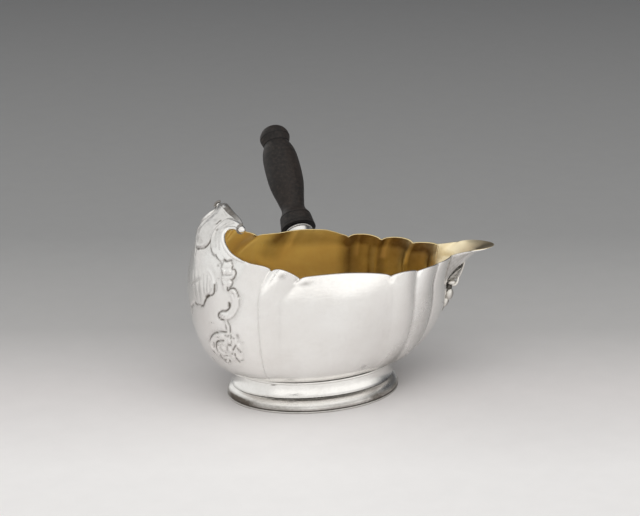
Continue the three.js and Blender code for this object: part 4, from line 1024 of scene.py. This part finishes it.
# painted shade along the crease where the spout meets the bowl; the chased leaf ground is darker in its hollows
crease = np.maximum(np.exp(-((sp_ws - 10) / 0.05) ** 2), 0) * 0.35
cp = np.maximum(np.broadcast_to(crease[None, :], so.shape[:2]), panel * np.clip(0.30 - 1.1 * leaf_rel, 0, 1)).reshape(-1, 1)
tri = to_tris(grid_quads(len(SPH), len(SPW)))
v, t, e, s_out = clip(so.reshape(-1, 3), tri, -seam_field(so.reshape(-1, 3), -0.05), cp)
seam_line_out = chains(s_out, v)
v, t, e = compact(v, t, e)
spout.add(v, t, 0, e[:, 0])
tip_stain = np.broadcast_to((0.16 * smooth(10.7, 11.4, sp_ws) + 0.42 * smooth(11.5, 12.5, sp_ws))[None, :], so.shape[:2]).reshape(-1, 1)
v, t, e, s_in = clip(si.reshape(-1, 3), tri[:, ::-1], -seam_field(si.reshape(-1, 3), -0.05), tip_stain)
seam_line_in = chains(s_in, v)
v, t, e = compact(v, t, e)
spout.add(v, t, 1, e[:, 0])
K = 8
rows = []
ww = np.linspace(9.4, 16.6, 320)
sws = np.where(ww > LAST, 2 * LAST - ww, ww)
shw = SHEET + (SPOUT_SHEET - SHEET) * smooth(10, 13, sws)
p0, tw, th, n = frame_at(ww, 2.0)
for k in range(K + 1):
    a = math.pi * k / K
    rows.append(off(ww, 2.0, -0.5 * shw * (1 - math.cos(a))) + th * (0.42 * math.sin(a)))
g = np.stack(rows).reshape(-1, 3)
t = to_tris(grid_quads(K + 1, len(ww)))
mat = np.tile(np.repeat((np.arange(K) >= 4).astype(int), len(ww) - 1), 2)
keep = seam_field(g[t].mean(1), 0.0) > 0
spout.add(g, t[keep], mat[keep], 0.03)
for lines, mat_i, r in ((seam_line_out, 0, 0.30), (seam_line_in, 1, 0.55)):
    for line in lines:
        if len(line) < 8:
            continue
        line = relax(resample(line, 0.6), 3)
        v_, t_ = tube(line, r, 8, up=(1, 0, 0.1))
        spout.add(v_, t_, mat_i, 0.0 if mat_i else 0.5)
ob_spout = spout.write("spout_shell", [M_SILVER, M_PALE], ("spout",), "silver")

# ---------------------------------------------------------------- oval rings of the foot
def oval(profile, askew=True, n=240):
    """Closed oval ring; the turn and shift of the foot grow from its top edge down to the collar's lower edge."""
    pr = np.asarray(profile, float)
    t = np.arange(n) * 2 * math.pi / n
    x, y = pr[:, None, 0] * np.cos(t)[None], pr[:, None, 1] * np.sin(t)[None]
    k = np.clip((17.2 - pr[:, 2:3]) / (17.2 - COLLAR_FOOT), 0, 1) if askew else np.zeros((len(pr), 1))
    r = k * FOOT_TURN
    g = np.stack([x * np.cos(r) - y * np.sin(r) + k * FOOT_SHIFT[0], x * np.sin(r) + y * np.cos(r) + k * FOOT_SHIFT[1],
                  np.broadcast_to(pr[:, 2:3], x.shape)], -1)
    q = grid_quads(len(pr), n, closed=True)
    a = (len(pr) - 1) * n + np.arange(n)
    b = (len(pr) - 1) * n + (np.arange(n) + 1) % n
    c = (np.arange(n) + 1) % n
    return g.reshape(-1, 3), to_tris(np.concatenate([q, np.stack([a, b, c, np.arange(n)], 1)])), np.tile(t, len(pr))


def wire(a, b, z, r, n=12):
    t = np.arange(n) * 2 * math.pi / n
    return [(a + r * math.cos(x), b + r * math.cos(x), z + r * math.sin(x)) for x in t]


def spots(t, places):
    """Dark patches round an oval ring: (angle in degrees, spread in degrees, strength)."""
    out = np.zeros(len(t))
    for at, spread, strength in places:
        d = (np.degrees(t) - at + 180) % 360 - 180
        out = np.maximum(out, strength * np.exp(-(d / spread) ** 2))
    return out


wire_piece = Piece()
v, t, th = oval(wire(JOINT_A + 0.9, JOINT_B + 0.9, 16.5, 0.85), False)
# painted shade darkens the top and bottom of the wire, where it meets the bowl and the collar
wire_piece.add(v, t, 0, np.where(v[:, 2] > 17.0, 0.6, np.where(v[:, 2] < 16.0, 0.65, 0.0)))
ob_wire = wire_piece.write("foot_joint_wire", [M_FOOT], ("joint_wire",), "silver")

col_out = catmull(np.array([[51.0, 32.5, COLLAR_FOOT], [50.3, 31.95, 8.5], [49.6, 31.6, 9.8], [49.1, 31.4, 11.5], [48.8, 31.35, 14.0], [48.6, 31.4, 17.2]]), 5)
col_in = catmull(np.array([[47.4, 30.2, 17.2], [47.6, 30.15, 14.0], [47.9, 30.2, 11.5], [48.4, 30.45, 9.8], [49.0, 30.9, 8.5], [49.4, 31.1, COLLAR_FOOT]]), 3)
collar = Piece()
v, t, th = oval(np.concatenate([col_out, col_in]))
wav = 0.5 + 0.5 * np.sin(th * 7 + 1.0) * np.sin(th * 3)
# painted shade darkens the collar's lower edge at the flange and its top under the joint wire; a small dark spot sits
# near the top
collar.add(v, t, 0, np.clip(np.where(v[:, 2] < 8.4, 0.10 + 0.1 * wav, np.where(v[:, 2] > 16.4, 0.45, 0.03 * wav)) + spots(th, [(226, 2.0, 0.7)]) * (v[:, 2] > 14), 0, 1))
ob_collar = collar.write("foot_collar_ring", [M_FOOT], ("foot_collar",), "silver", 50)

fl_out = catmull(np.array([[FOOT_A, FOOT_B, 1.6], [FOOT_A + 0.15, FOOT_B + 0.15, 2.9], [FOOT_A - 0.1, FOOT_B - 0.4, 4.2], [FOOT_A - 0.8, FOOT_B - 1.8, 5.4],
                           [FOOT_A - 1.7, FOOT_B - 3.6, 6.4], [FOOT_A - 2.4, FOOT_B - 5.2, 7.0], [FOOT_A - 2.9, FOOT_B - 6.3, 7.4]]), 6)
fl_out = np.concatenate([fl_out, [[50.4, 31.9, 7.43], [49.6, 31.2, 7.4], [49.4, 31.0, 7.3]]])
fl_in = np.array([[49.4, 31.0, 6.4], [FOOT_A - 3.0, FOOT_B - 6.3, 6.2], [FOOT_A - 2.4, FOOT_B - 4.4, 5.4], [FOOT_A - 1.8, FOOT_B - 2.8, 4.4],
                  [FOOT_A - 1.35, FOOT_B - 1.7, 3.4], [FOOT_A - 1.15, FOOT_B - 1.2, 2.6], [FOOT_A - 1.2, FOOT_B - 1.2, 1.6]])
flange = Piece()
v, t, th = oval(np.concatenate([fl_out, fl_in]))
# painted shadow on the flange's bottom edge over the base wire and painted shade on its left end; a darker band runs
# low round it, with small dark patches
low = 1 - smooth(4.0, 5.2, v[:, 2])
band = 0.50 * low * (0.75 + 0.25 * np.sin(th * 9 + 2)) + spots(th, [(200, 22, 0.75), (305, 10, 0.5)]) * (1 - smooth(4.6, 6.2, v[:, 2])) + spots(th, [(333, 9, 0.4)])
flange.add(v, t, 0, np.clip(np.where(v[:, 2] < 1.9, 0.6, np.where(v[:, 2] > 7.25, 0.08, 0.0)) + band
                            + spots(th, [(244, 2.6, 0.55)]) * np.exp(-((v[:, 2] - 6.9) / 0.7) ** 2), 0, 1))
ob_flange = flange.write("foot_flange_ring", [M_FOOT], ("foot_flange",), "silver", 50)

bw = [(FOOT_A - 2.1, FOOT_B - 2.1, 0.1), (FOOT_A - 2.0, FOOT_B - 2.0, 0.0), (FOOT_A - 0.3, FOOT_B - 0.3, 0.0), (FOOT_A + 0.1, FOOT_B + 0.1, 0.12),
      (FOOT_A + 0.3, FOOT_B + 0.3, 0.45), (FOOT_A + 0.3, FOOT_B + 0.3, 0.85), (FOOT_A + 0.1, FOOT_B + 0.1, 1.18), (FOOT_A - 0.3, FOOT_B - 0.3, 1.3),
      (FOOT_A - 2.0, FOOT_B - 2.0, 1.3), (FOOT_A - 2.1, FOOT_B - 2.1, 1.2)]
base_wire = Piece()
v, t, th = oval(bw)
# painted shadow darkens the top of the wire under the flange and its underside on the floor, the middle less
base_wire.add(v, t, 0, np.where(v[:, 2] > 1.1, 0.7, np.where(v[:, 2] < 0.3, 0.6, 0.25)))
ob_bw = base_wire.write("foot_base_ring", [M_FOOT], ("foot_base_wire",), "silver", 50)

# ---------------------------------------------------------------- handle, socket, plate, pin
yaw, pitch = math.radians(HANDLE_YAW), math.radians(HANDLE_PITCH)
AXIS = np.array([math.cos(pitch) * math.sin(yaw), math.cos(pitch) * math.cos(yaw), math.sin(pitch)])
SIDE = unit(np.cross(AXIS, np.array([0, 0, 1.0])))
ACROSS = np.cross(SIDE, AXIS)


def turned(profile, n=96):
    pr = np.asarray(profile, float)
    t = np.arange(n) * 2 * math.pi / n
    ring = np.cos(t)[:, None] * SIDE + np.sin(t)[:, None] * ACROSS
    g = HANDLE_AT + pr[:, None, None, 1] * AXIS + pr[:, None, None, 0] * ring[None]
    return g.reshape(-1, 3), to_tris(grid_quads(len(pr), n, closed=True)), pr


def crisp(groups, n=6):
    """Profile of smooth runs that meet in crisp corners."""
    out = []
    for g in groups:
        c = catmull(np.array(g, float), n) if len(g) > 2 else np.array(g, float)
        out.append(c if not out else c[1:])
    return np.concatenate(out)


S0 = SOCKET
wood_groups = [
    [(0, S0 - 15), (5.6, S0 - 15)], [(5.6, S0 - 15), (6.4, S0 - 7), (6.9, S0 - 1.5), (7.1, S0)], [(7.1, S0), (10.95, S0)],
    [(10.95, S0), (11.22, S0 + 0.18), (11.33, S0 + 0.7), (11.22, S0 + 1.5)], [(11.22, S0 + 1.5), (11.0, S0 + 1.75), (11.08, S0 + 2.05)],
    [(11.08, S0 + 2.05), (10.75, S0 + 4.4), (10.5, S0 + 7.0), (10.3, S0 + 8.3)], [(10.3, S0 + 8.3), (10.1, S0 + 8.55), (10.18, S0 + 8.85)],
    [(10.18, S0 + 8.85), (10.05, S0 + 9.6), (9.5, S0 + 10.6), (8.6, S0 + 12.2), (7.9, S0 + 14), (7.65, S0 + 16), (7.75, S0 + 18), (8.15, S0 + 20),
     (8.75, S0 + 23), (9.35, S0 + 26), (10.05, S0 + 29), (10.65, S0 + 32), (11.15, S0 + 35), (11.45, S0 + 38.5), (11.65, S0 + 42.5), (11.7, S0 + 47),
     (11.6, S0 + 52), (11.4, S0 + 56), (10.95, S0 + 59.2), (10.3, S0 + 62), (9.2, S0 + 65), (8.6, S0 + 66.5)],
    [(8.6, S0 + 66.5), (8.35, S0 + 66.9), (8.6, S0 + 67.4)], [(8.6, S0 + 67.4), (9.0, S0 + 68.8), (9.5, S0 + 70.4), (9.72, S0 + 71.5)],
    [(9.72, S0 + 71.5), (9.9, S0 + 72.0), (9.85, S0 + 73.0), (9.4, S0 + 75.0), (8.3, S0 + 77.1), (6.6, S0 + 78.8), (4.4, S0 + 80.0), (2.0, S0 + 80.6), (0.0, S0 + 80.7)]]
wood_profile = crisp(wood_groups, 5)


def wood(name):
    """Blackened close-grained wood, waxed: streaks along the handle, worn brown on the swell."""
    mat, nt, bsdf = nodes_of(name)
    co = nt.nodes.new("ShaderNodeTexCoord").outputs["Object"]
    mp = nt.nodes.new("ShaderNodeMapping")
    mp.vector_type = "TEXTURE"
    m = Matrix((tuple(SIDE), tuple(ACROSS), tuple(AXIS))).transposed().to_euler()
    mp.inputs["Rotation"].default_value = m
    link(nt, co, mp.inputs["Vector"])
    along = mp.outputs["Vector"]
    streak = noise(nt, along, 520, 4, 0.62, 0.15, (1, 1, 0.05))
    pores = noise(nt, along, 1400, 2, 0.7, 0.0, (1, 1, 0.035))
    cloud = noise(nt, along, 40, 4, 0.6, 0.3, (1, 1, 0.6))
    tone = ramp(nt, streak, [(0.30, (0.010, 0.009, 0.0085)), (0.55, (0.020, 0.017, 0.0155)), (0.78, (0.040, 0.031, 0.026))])
    worn = ramp(nt, cloud, [(0.45, (0, 0, 0)), (0.75, (1, 1, 1))])
    col = mix_col(nt, math_node(nt, "MULTIPLY", worn, 0.4), tone, (0.046, 0.032, 0.026))
    at = nt.nodes.new("ShaderNodeAttribute")
    at.attribute_name = "patina_and_shade"
    at.attribute_type = "GEOMETRY"
    col = mix_col(nt, at.outputs["Fac"], col, (0.008, 0.007, 0.007))
    link(nt, col, bsdf.inputs["Base Color"])
    r = math_node(nt, "ADD", math_node(nt, "MULTIPLY", cloud, 0.22), 0.30)
    r = math_node(nt, "ADD", r, math_node(nt, "MULTIPLY", pores, 0.10), True)
    link(nt, r, bsdf.inputs["Roughness"])
    nrm = bump(nt, pores, 0.22, 0.0003)
    nrm = bump(nt, streak, 0.12, 0.0005, nrm)
    link(nt, nrm, bsdf.inputs["Normal"])
    bsdf.inputs["IOR"].default_value = 1.5
    bsdf.inputs["Specular IOR Level"].default_value = 0.2
    return mat


M_WOOD = wood("blackened_wood")
hd = Piece()
v, t, pr = turned(wood_profile, 120)
s_of = np.repeat(pr[:, 1] - S0, 120)
r_of = np.repeat(pr[:, 0], 120)
dk = np.exp(-((s_of - 1.75) / 0.3) ** 2) * 0.7 + np.exp(-((s_of - 8.55) / 0.35) ** 2) + np.exp(-((s_of - 66.9) / 0.45) ** 2) + np.exp(-((s_of - 71.7) / 0.35) ** 2) * 0.8
dk = dk + 0.9 * (s_of < 0.3)
hd.add(v, t, 0, np.clip(dk, 0, 1))
ob_handle = hd.write("turned_handle", [M_WOOD], ("handle",), "blackened_wood", 40)

sock_groups = [
    [(8.4, -5), (10.6, -5)], [(10.6, -5), (10.5, -1), (10.4, 1.5), (9.4, 3.2), (8.5, 6), (8.1, 9), (8.0, 13), (8.05, 19), (8.2, 24), (8.35, 26.0)],
    [(8.35, 26.0), (8.25, 26.2), (8.5, 26.45)], [(8.5, 26.45), (8.72, 26.65), (8.75, 27.0), (8.72, 27.4), (8.55, 27.65)], [(8.55, 27.65), (7.65, 27.7)],
    [(7.65, 27.7), (7.5, 24), (7.2, 18), (6.9, 13), (6.9, 9), (7.2, 6), (8.0, 3.2), (8.4, -5)]]
sp = crisp(sock_groups, 6)
v, t, pr = turned(sp, 96)
# the tube ends on the wall: everything inside the wall's face is cut away
_w = np.linspace(2 * LAST - 7.9, 2 * LAST - 4.4, 141)
_h = np.linspace(0.1, 1.9, 121)
wallface = off(_w[:, None], _h[None, :], 0.35)
wf = wallface.reshape(-1, 3)
wn = frame_at(_w[:, None], _h[None, :])[3].reshape(-1, 3)


def wall_height(p):
    out = np.empty(len(p))
    for i in range(0, len(p), 400):
        d = ((p[i:i + 400, None, :] - wf[None]) ** 2).sum(-1)
        j = d.argmin(1)
        out[i:i + 400] = ((p[i:i + 400] - wf[j]) * wn[j]).sum(1)
    return out


hgt = wall_height(v)
sock = Piece()
sdk = np.where(np.abs(np.repeat(pr[:, 1], 96) - 26.2) < 0.25, 0.6, 0.03) + 0.6 * np.exp(-(np.clip(hgt, 0, 9) / 0.7) ** 2)
v2, t2, e2, _ = clip(v, t, -hgt, sdk[:, None])
v2, t2, e2 = compact(v2, t2, e2)
sock.add(v2, t2, 0, np.clip(e2[:, 0], 0, 1))
ob_sock = sock.write("handle_ferrule", [M_FOOT], ("handle_socket",), "silver", 50)

# plate on the wall under the socket, with a scalloped outline
pc_w, pc_h = 2 * LAST - 6.24, 1.0
n = 96
ang = np.arange(n) * 2 * math.pi / n
rings = [(1.0, 0.30), (1.0, 0.8), (0.97, 1.0), (0.9, 1.1), (0.6, 1.12), (0.3, 1.12), (0.02, 1.12)]
wav = 1 - 0.05 * (1 - np.abs(np.cos(4 * ang)))
g = np.stack([off(pc_w + k * wav * 0.30 * np.cos(ang), pc_h + k * wav * 0.34 * np.sin(ang), d) for k, d in rings])
plate = Piece()
plate.add(g.reshape(-1, 3), to_tris(grid_quads(len(rings), n, closed=True)), 0, np.repeat([0.7, 0.3, 0.05, 0.05, 0.15, 0.3, 0.3], n))
ob_plate = plate.write("socket_wall_plate", [M_FOOT], ("socket_plate",), "silver", 50)

# pin through socket and tenon
pin = Piece()
c = HANDLE_AT + AXIS * (S0 - 8)
prof = [(0, -9.1), (0.55, -9.08), (0.78, -8.9), (0.8, -8.7), (0.8, 8.7), (0.78, 8.9), (0.55, 9.08), (0, 9.1)]
a = np.arange(24) * 2 * math.pi / 24
g = np.stack([c + SIDE * s + r * (np.cos(a)[:, None] * AXIS + np.sin(a)[:, None] * ACROSS) for r, s in prof])
pin.add(g.reshape(-1, 3), to_tris(grid_quads(len(prof), 24, closed=True)), 0, 0.25)
ob_pin = pin.write("handle_rivet", [M_FOOT], ("handle_pin",), "silver", 50)

# ---------------------------------------------------------------- drop ornament under the spout
drop = Piece()
# leaf: z, front x, half width, from the top down
LEAF = np.array([[75.0, 98.1, 5.6], [72.6, 97.8, 5.3], [70.2, 97.3, 4.8], [67.8, 96.7, 4.3], [65.4, 95.8, 3.9], [63.2, 95.1, 3.6], [61.6, 94.3, 3.1], [60.4, 93.0, 2.4], [59.9, 91.0, 1.6]])
mer_h = np.linspace(0.2, 2, 400)
mer = wall(np.full(400, 13.0), mer_h)


def front_x(z):
    o = np.argsort(mer[:, 2])
    return np.interp(z, mer[o, 2], mer[o, 0])


phi = np.linspace(-math.pi / 2, math.pi / 2, 61)
rows, pats = [], []
lf = catmull(LEAF, 9)
for i, (z, xf, b) in enumerate(lf):
    k = i / (len(lf) - 1)
    back = min(front_x(z), xf - 0.5) - 0.2
    rib = 0.16 * np.cos(phi * 9 + 3.0 * k) + 0.12 * np.sin(k * 46 + 2.2 * np.abs(phi)) - 0.25 * np.exp(-(phi / 0.10) ** 2)
    rib = rib * smooth(0, 0.12, 1 - k)
    st = (xf - back) * np.cos(phi) ** 0.55 + rib * 0.8 * np.cos(phi) ** 0.5
    rows.append(np.stack([back + st, b * np.sin(phi) * (1 + 0.03 * rib), np.full(len(phi), z) - 0.1 * st], -1))
    pats.append(np.clip(0.26 - rib * 0.9 + 0.25 * np.abs(np.sin(phi)) ** 6 + 0.5 * smooth(0.8, 1.0, k), 0, 1))
drop.add(np.stack(rows).reshape(-1, 3), to_tris(grid_quads(len(rows), len(phi))), 0, np.concatenate(pats))


def egg(c, r, lean=0.0, patina_and_shade=0.1, n=26, m=34, painted_shade_side=0.0):
    """Smooth bulb leaning along X as it goes down; the side towards +X may be painted darker as shade."""
    th_, ph_ = np.linspace(0, math.pi, n), np.linspace(0, 2 * math.pi, m, endpoint=False)
    x = np.sin(th_)[:, None] * np.cos(ph_)[None]
    y = np.sin(th_)[:, None] * np.sin(ph_)[None]
    z = np.cos(th_)[:, None] * np.ones((1, m))
    g = np.stack([c[0] + r[0] * x + lean * z * r[2], c[1] + r[1] * y, c[2] + r[2] * z], -1).reshape(-1, 3)
    pat_ = np.clip(patina_and_shade + painted_shade_side * np.clip(x.ravel() + 0.1, 0, 1), 0, 1)
    drop.add(g, to_tris(grid_quads(n, m, closed=True)), 0, pat_)


for d in (-1, 1):
    # edge of the leaf, curling under its foot
    for pts, r, pt in (
            ([[97.4, d * 5.4, 74.6], [97.2, d * 5.1, 71.6], [96.4, d * 4.5, 68.0], [95.3, d * 4.0, 64.6], [94.4, d * 3.5, 62.4], [93.6, d * 2.6, 61.0]], 0.62, 0.05),
            ([[94.4, d * 3.2, 62.6], [93.7, d * 3.8, 60.6], [92.9, d * 4.4, 59.0], [91.6, d * 4.6, 57.8], [90.4, d * 4.0, 57.6], [90.2, d * 3.0, 58.6], [91.2, d * 2.6, 59.4]], 0.85, 0.02)):
        path = catmull(np.array(pts), 8)
        k = np.linspace(0, 1, len(path))
        v_, t_ = tube(path, r * (0.6 + 0.4 * np.sin(math.pi * (0.12 + 0.8 * k))), 12, up=(0, 1, 0.01))
        drop.add(v_, t_, 0, pt)
    egg((90.2, d * 2.5, 58.9), (2.6, 2.3, 1.6), 0.15, 0.06)
    egg((88.9, d * 1.9, 55.6), (1.7, 1.6, 2.4), 0.10, 0.85)
    egg((88.8, d * 2.3, 51.2), (2.5, 2.1, 3.9), 0.12, 0.02, painted_shade_side=0.75)
    egg((86.6, d * 1.3, 46.0), (2.1, 2.0, 3.5), 0.25, 0.05, painted_shade_side=0.8)
egg((84.3, 0, 41.6), (1.8, 1.6, 2.9), 0.3, 0.25, painted_shade_side=0.4)
ob_drop = drop.write("spout_drop_ornament", [M_CAST], ("spout_drop",), "cast_silver")

# ---------------------------------------------------------------- floor and light
def stage_floor():
    mat, nt, bsdf = nodes_of("paper_floor")
    co = nt.nodes.new("ShaderNodeTexCoord").outputs["Object"]
    mp = nt.nodes.new("ShaderNodeMapping")
    mp.inputs["Rotation"].default_value = (0, 0, math.radians(19.4))
    link(nt, co, mp.inputs["Vector"])
    sep = nt.nodes.new("ShaderNodeSeparateXYZ")
    link(nt, mp.outputs["Vector"], sep.inputs[0])
    mr = nt.nodes.new("ShaderNodeMapRange")
    mr.inputs["From Min"].default_value = -0.35
    mr.inputs["From Max"].default_value = 1.05
    link(nt, sep.outputs["Y"], mr.inputs["Value"])
    f = mr.outputs[0]
    # pale floor falling off softly into a darker backdrop; the bright front, its falloff and the lighter strip to the
    # left are painted light
    col = ramp(nt, f, [(0.0, (0.905, 0.895, 0.89)), (0.13, (0.87, 0.855, 0.85)), (0.21, (0.69, 0.665, 0.66)),
                       (0.285, (0.445, 0.438, 0.434)), (0.42, (0.30, 0.30, 0.30)), (1.0, (0.155, 0.157, 0.16))])
    side = nt.nodes.new("ShaderNodeMapRange")
    side.interpolation_type = "SMOOTHSTEP"
    side.inputs["From Min"].default_value = -0.36
    side.inputs["From Max"].default_value = -0.52
    link(nt, sep.outputs["X"], side.inputs["Value"])
    col = mix_col(nt, side.outputs[0], col, (0.88, 0.872, 0.865))
    fibre = noise(nt, co, 60, 4, 0.6)
    col = mix_col(nt, 0.05, col, ramp(nt, fibre, [(0.3, (0.5, 0.5, 0.5)), (0.7, (1, 1, 1))]), "MULTIPLY")
    link(nt, col, bsdf.inputs["Base Color"])
    bsdf.inputs["Roughness"].default_value = 0.75
    me = bpy.data.meshes.new("floor")
    s = 4.0
    me.from_pydata([(-s, -s, 0), (s, -s, 0), (s, s, 0), (-s, s, 0)], [], [(0, 1, 2, 3)])
    me.materials.append(mat)
    ob = bpy.data.objects.new("floor", me)
    bpy.context.scene.collection.objects.link(ob)
    return ob


stage_floor()

world = bpy.data.worlds.new("studio")
bpy.context.scene.world = world
world.use_nodes = True
wt = world.node_tree
bg = wt.nodes["Background"]
mpw = wt.nodes.new("ShaderNodeMapping")
mpw.inputs["Rotation"].default_value = (0, 0, math.radians(19.4))
wt.links.new(wt.nodes.new("ShaderNodeTexCoord").outputs["Generated"], mpw.inputs["Vector"])
sepw = wt.nodes.new("ShaderNodeSeparateXYZ")
wt.links.new(mpw.outputs["Vector"], sepw.inputs[0])


def step(axis, a, b):
    """Smooth 0..1 along one axis of the room: X right, Y away, Z up."""
    m = wt.nodes.new("ShaderNodeMapRange")
    m.interpolation_type = "SMOOTHSTEP"
    m.inputs["From Min"].default_value, m.inputs["From Max"].default_value = a, b
    wt.links.new(sepw.outputs[axis], m.inputs["Value"])
    return m.outputs[0]


room_back = mix_col(wt, step("Z", 0.02, 0.34), (0.24, 0.243, 0.25), (0.085, 0.088, 0.095))
room_front = mix_col(wt, step("Z", 0.34, 0.66), (1.14, 1.13, 1.11), (0.80, 0.795, 0.785))
room = mix_col(wt, step("Y", 0.36, -0.30), room_back, room_front)
room = mix_col(wt, step("X", -0.26, -0.60), room, (0.82, 0.82, 0.81))
overhead = mix_col(wt, step("Y", 0.42, -0.12), (0.46, 0.46, 0.46), (1.0, 0.99, 0.97))
room = mix_col(wt, step("Z", 0.60, 0.86), room, overhead)
wt.links.new(room, bg.inputs["Color"])
bg.inputs["Strength"].default_value = 1.05


def area(name, centre, target, size, power, colour=(1, 1, 1)):
    d = bpy.data.lights.new(name, "AREA")
    d.shape = "RECTANGLE"
    d.size, d.size_y = size
    d.energy = power
    d.color = colour
    o = bpy.data.objects.new(name, d)
    bpy.context.scene.collection.objects.link(o)
    o.location = centre
    o.rotation_euler = (Vector(target) - Vector(centre)).to_track_quat("-Z", "Y").to_euler()
    o.visible_camera = False
    return o


top = area("top_soft", (-0.1, -0.35, 1.25), (0, 0, 0), (1.3, 1.0), 4.0)
top.visible_glossy = False

# dark card at the camera's place, seen only as a small dark reflection
card = bpy.data.meshes.new("dark_card")
cz = EYE + BACK * 60 + np.array([0, 0, 0])
hw, hh = 85.0, 120.0
pts = [(cz + RIGHT * a * hw + UP * b * hh + SHIFT) / 1000 for a, b in ((-1, -1), (1, -1), (1, 1), (-1, 1))]
card.from_pydata([tuple(p) for p in pts], [], [(0, 1, 2, 3)])
cm, cnt, cb = nodes_of("dark_cloth")
cb.inputs["Base Color"].default_value = (0.02, 0.022, 0.028, 1)
cb.inputs["Roughness"].default_value = 0.9
card.materials.append(cm)
card_ob = bpy.data.objects.new("dark_card", card)
bpy.context.scene.collection.objects.link(card_ob)
card_ob.visible_camera = False
card_ob.visible_diffuse = False
card_ob.visible_shadow = False

bpy.context.scene.view_settings.view_transform = "Standard"
bpy.context.scene.view_settings.look = "None"
bpy.context.scene.view_settings.exposure = 0.0
bpy.context.scene.view_settings.gamma = 1.0

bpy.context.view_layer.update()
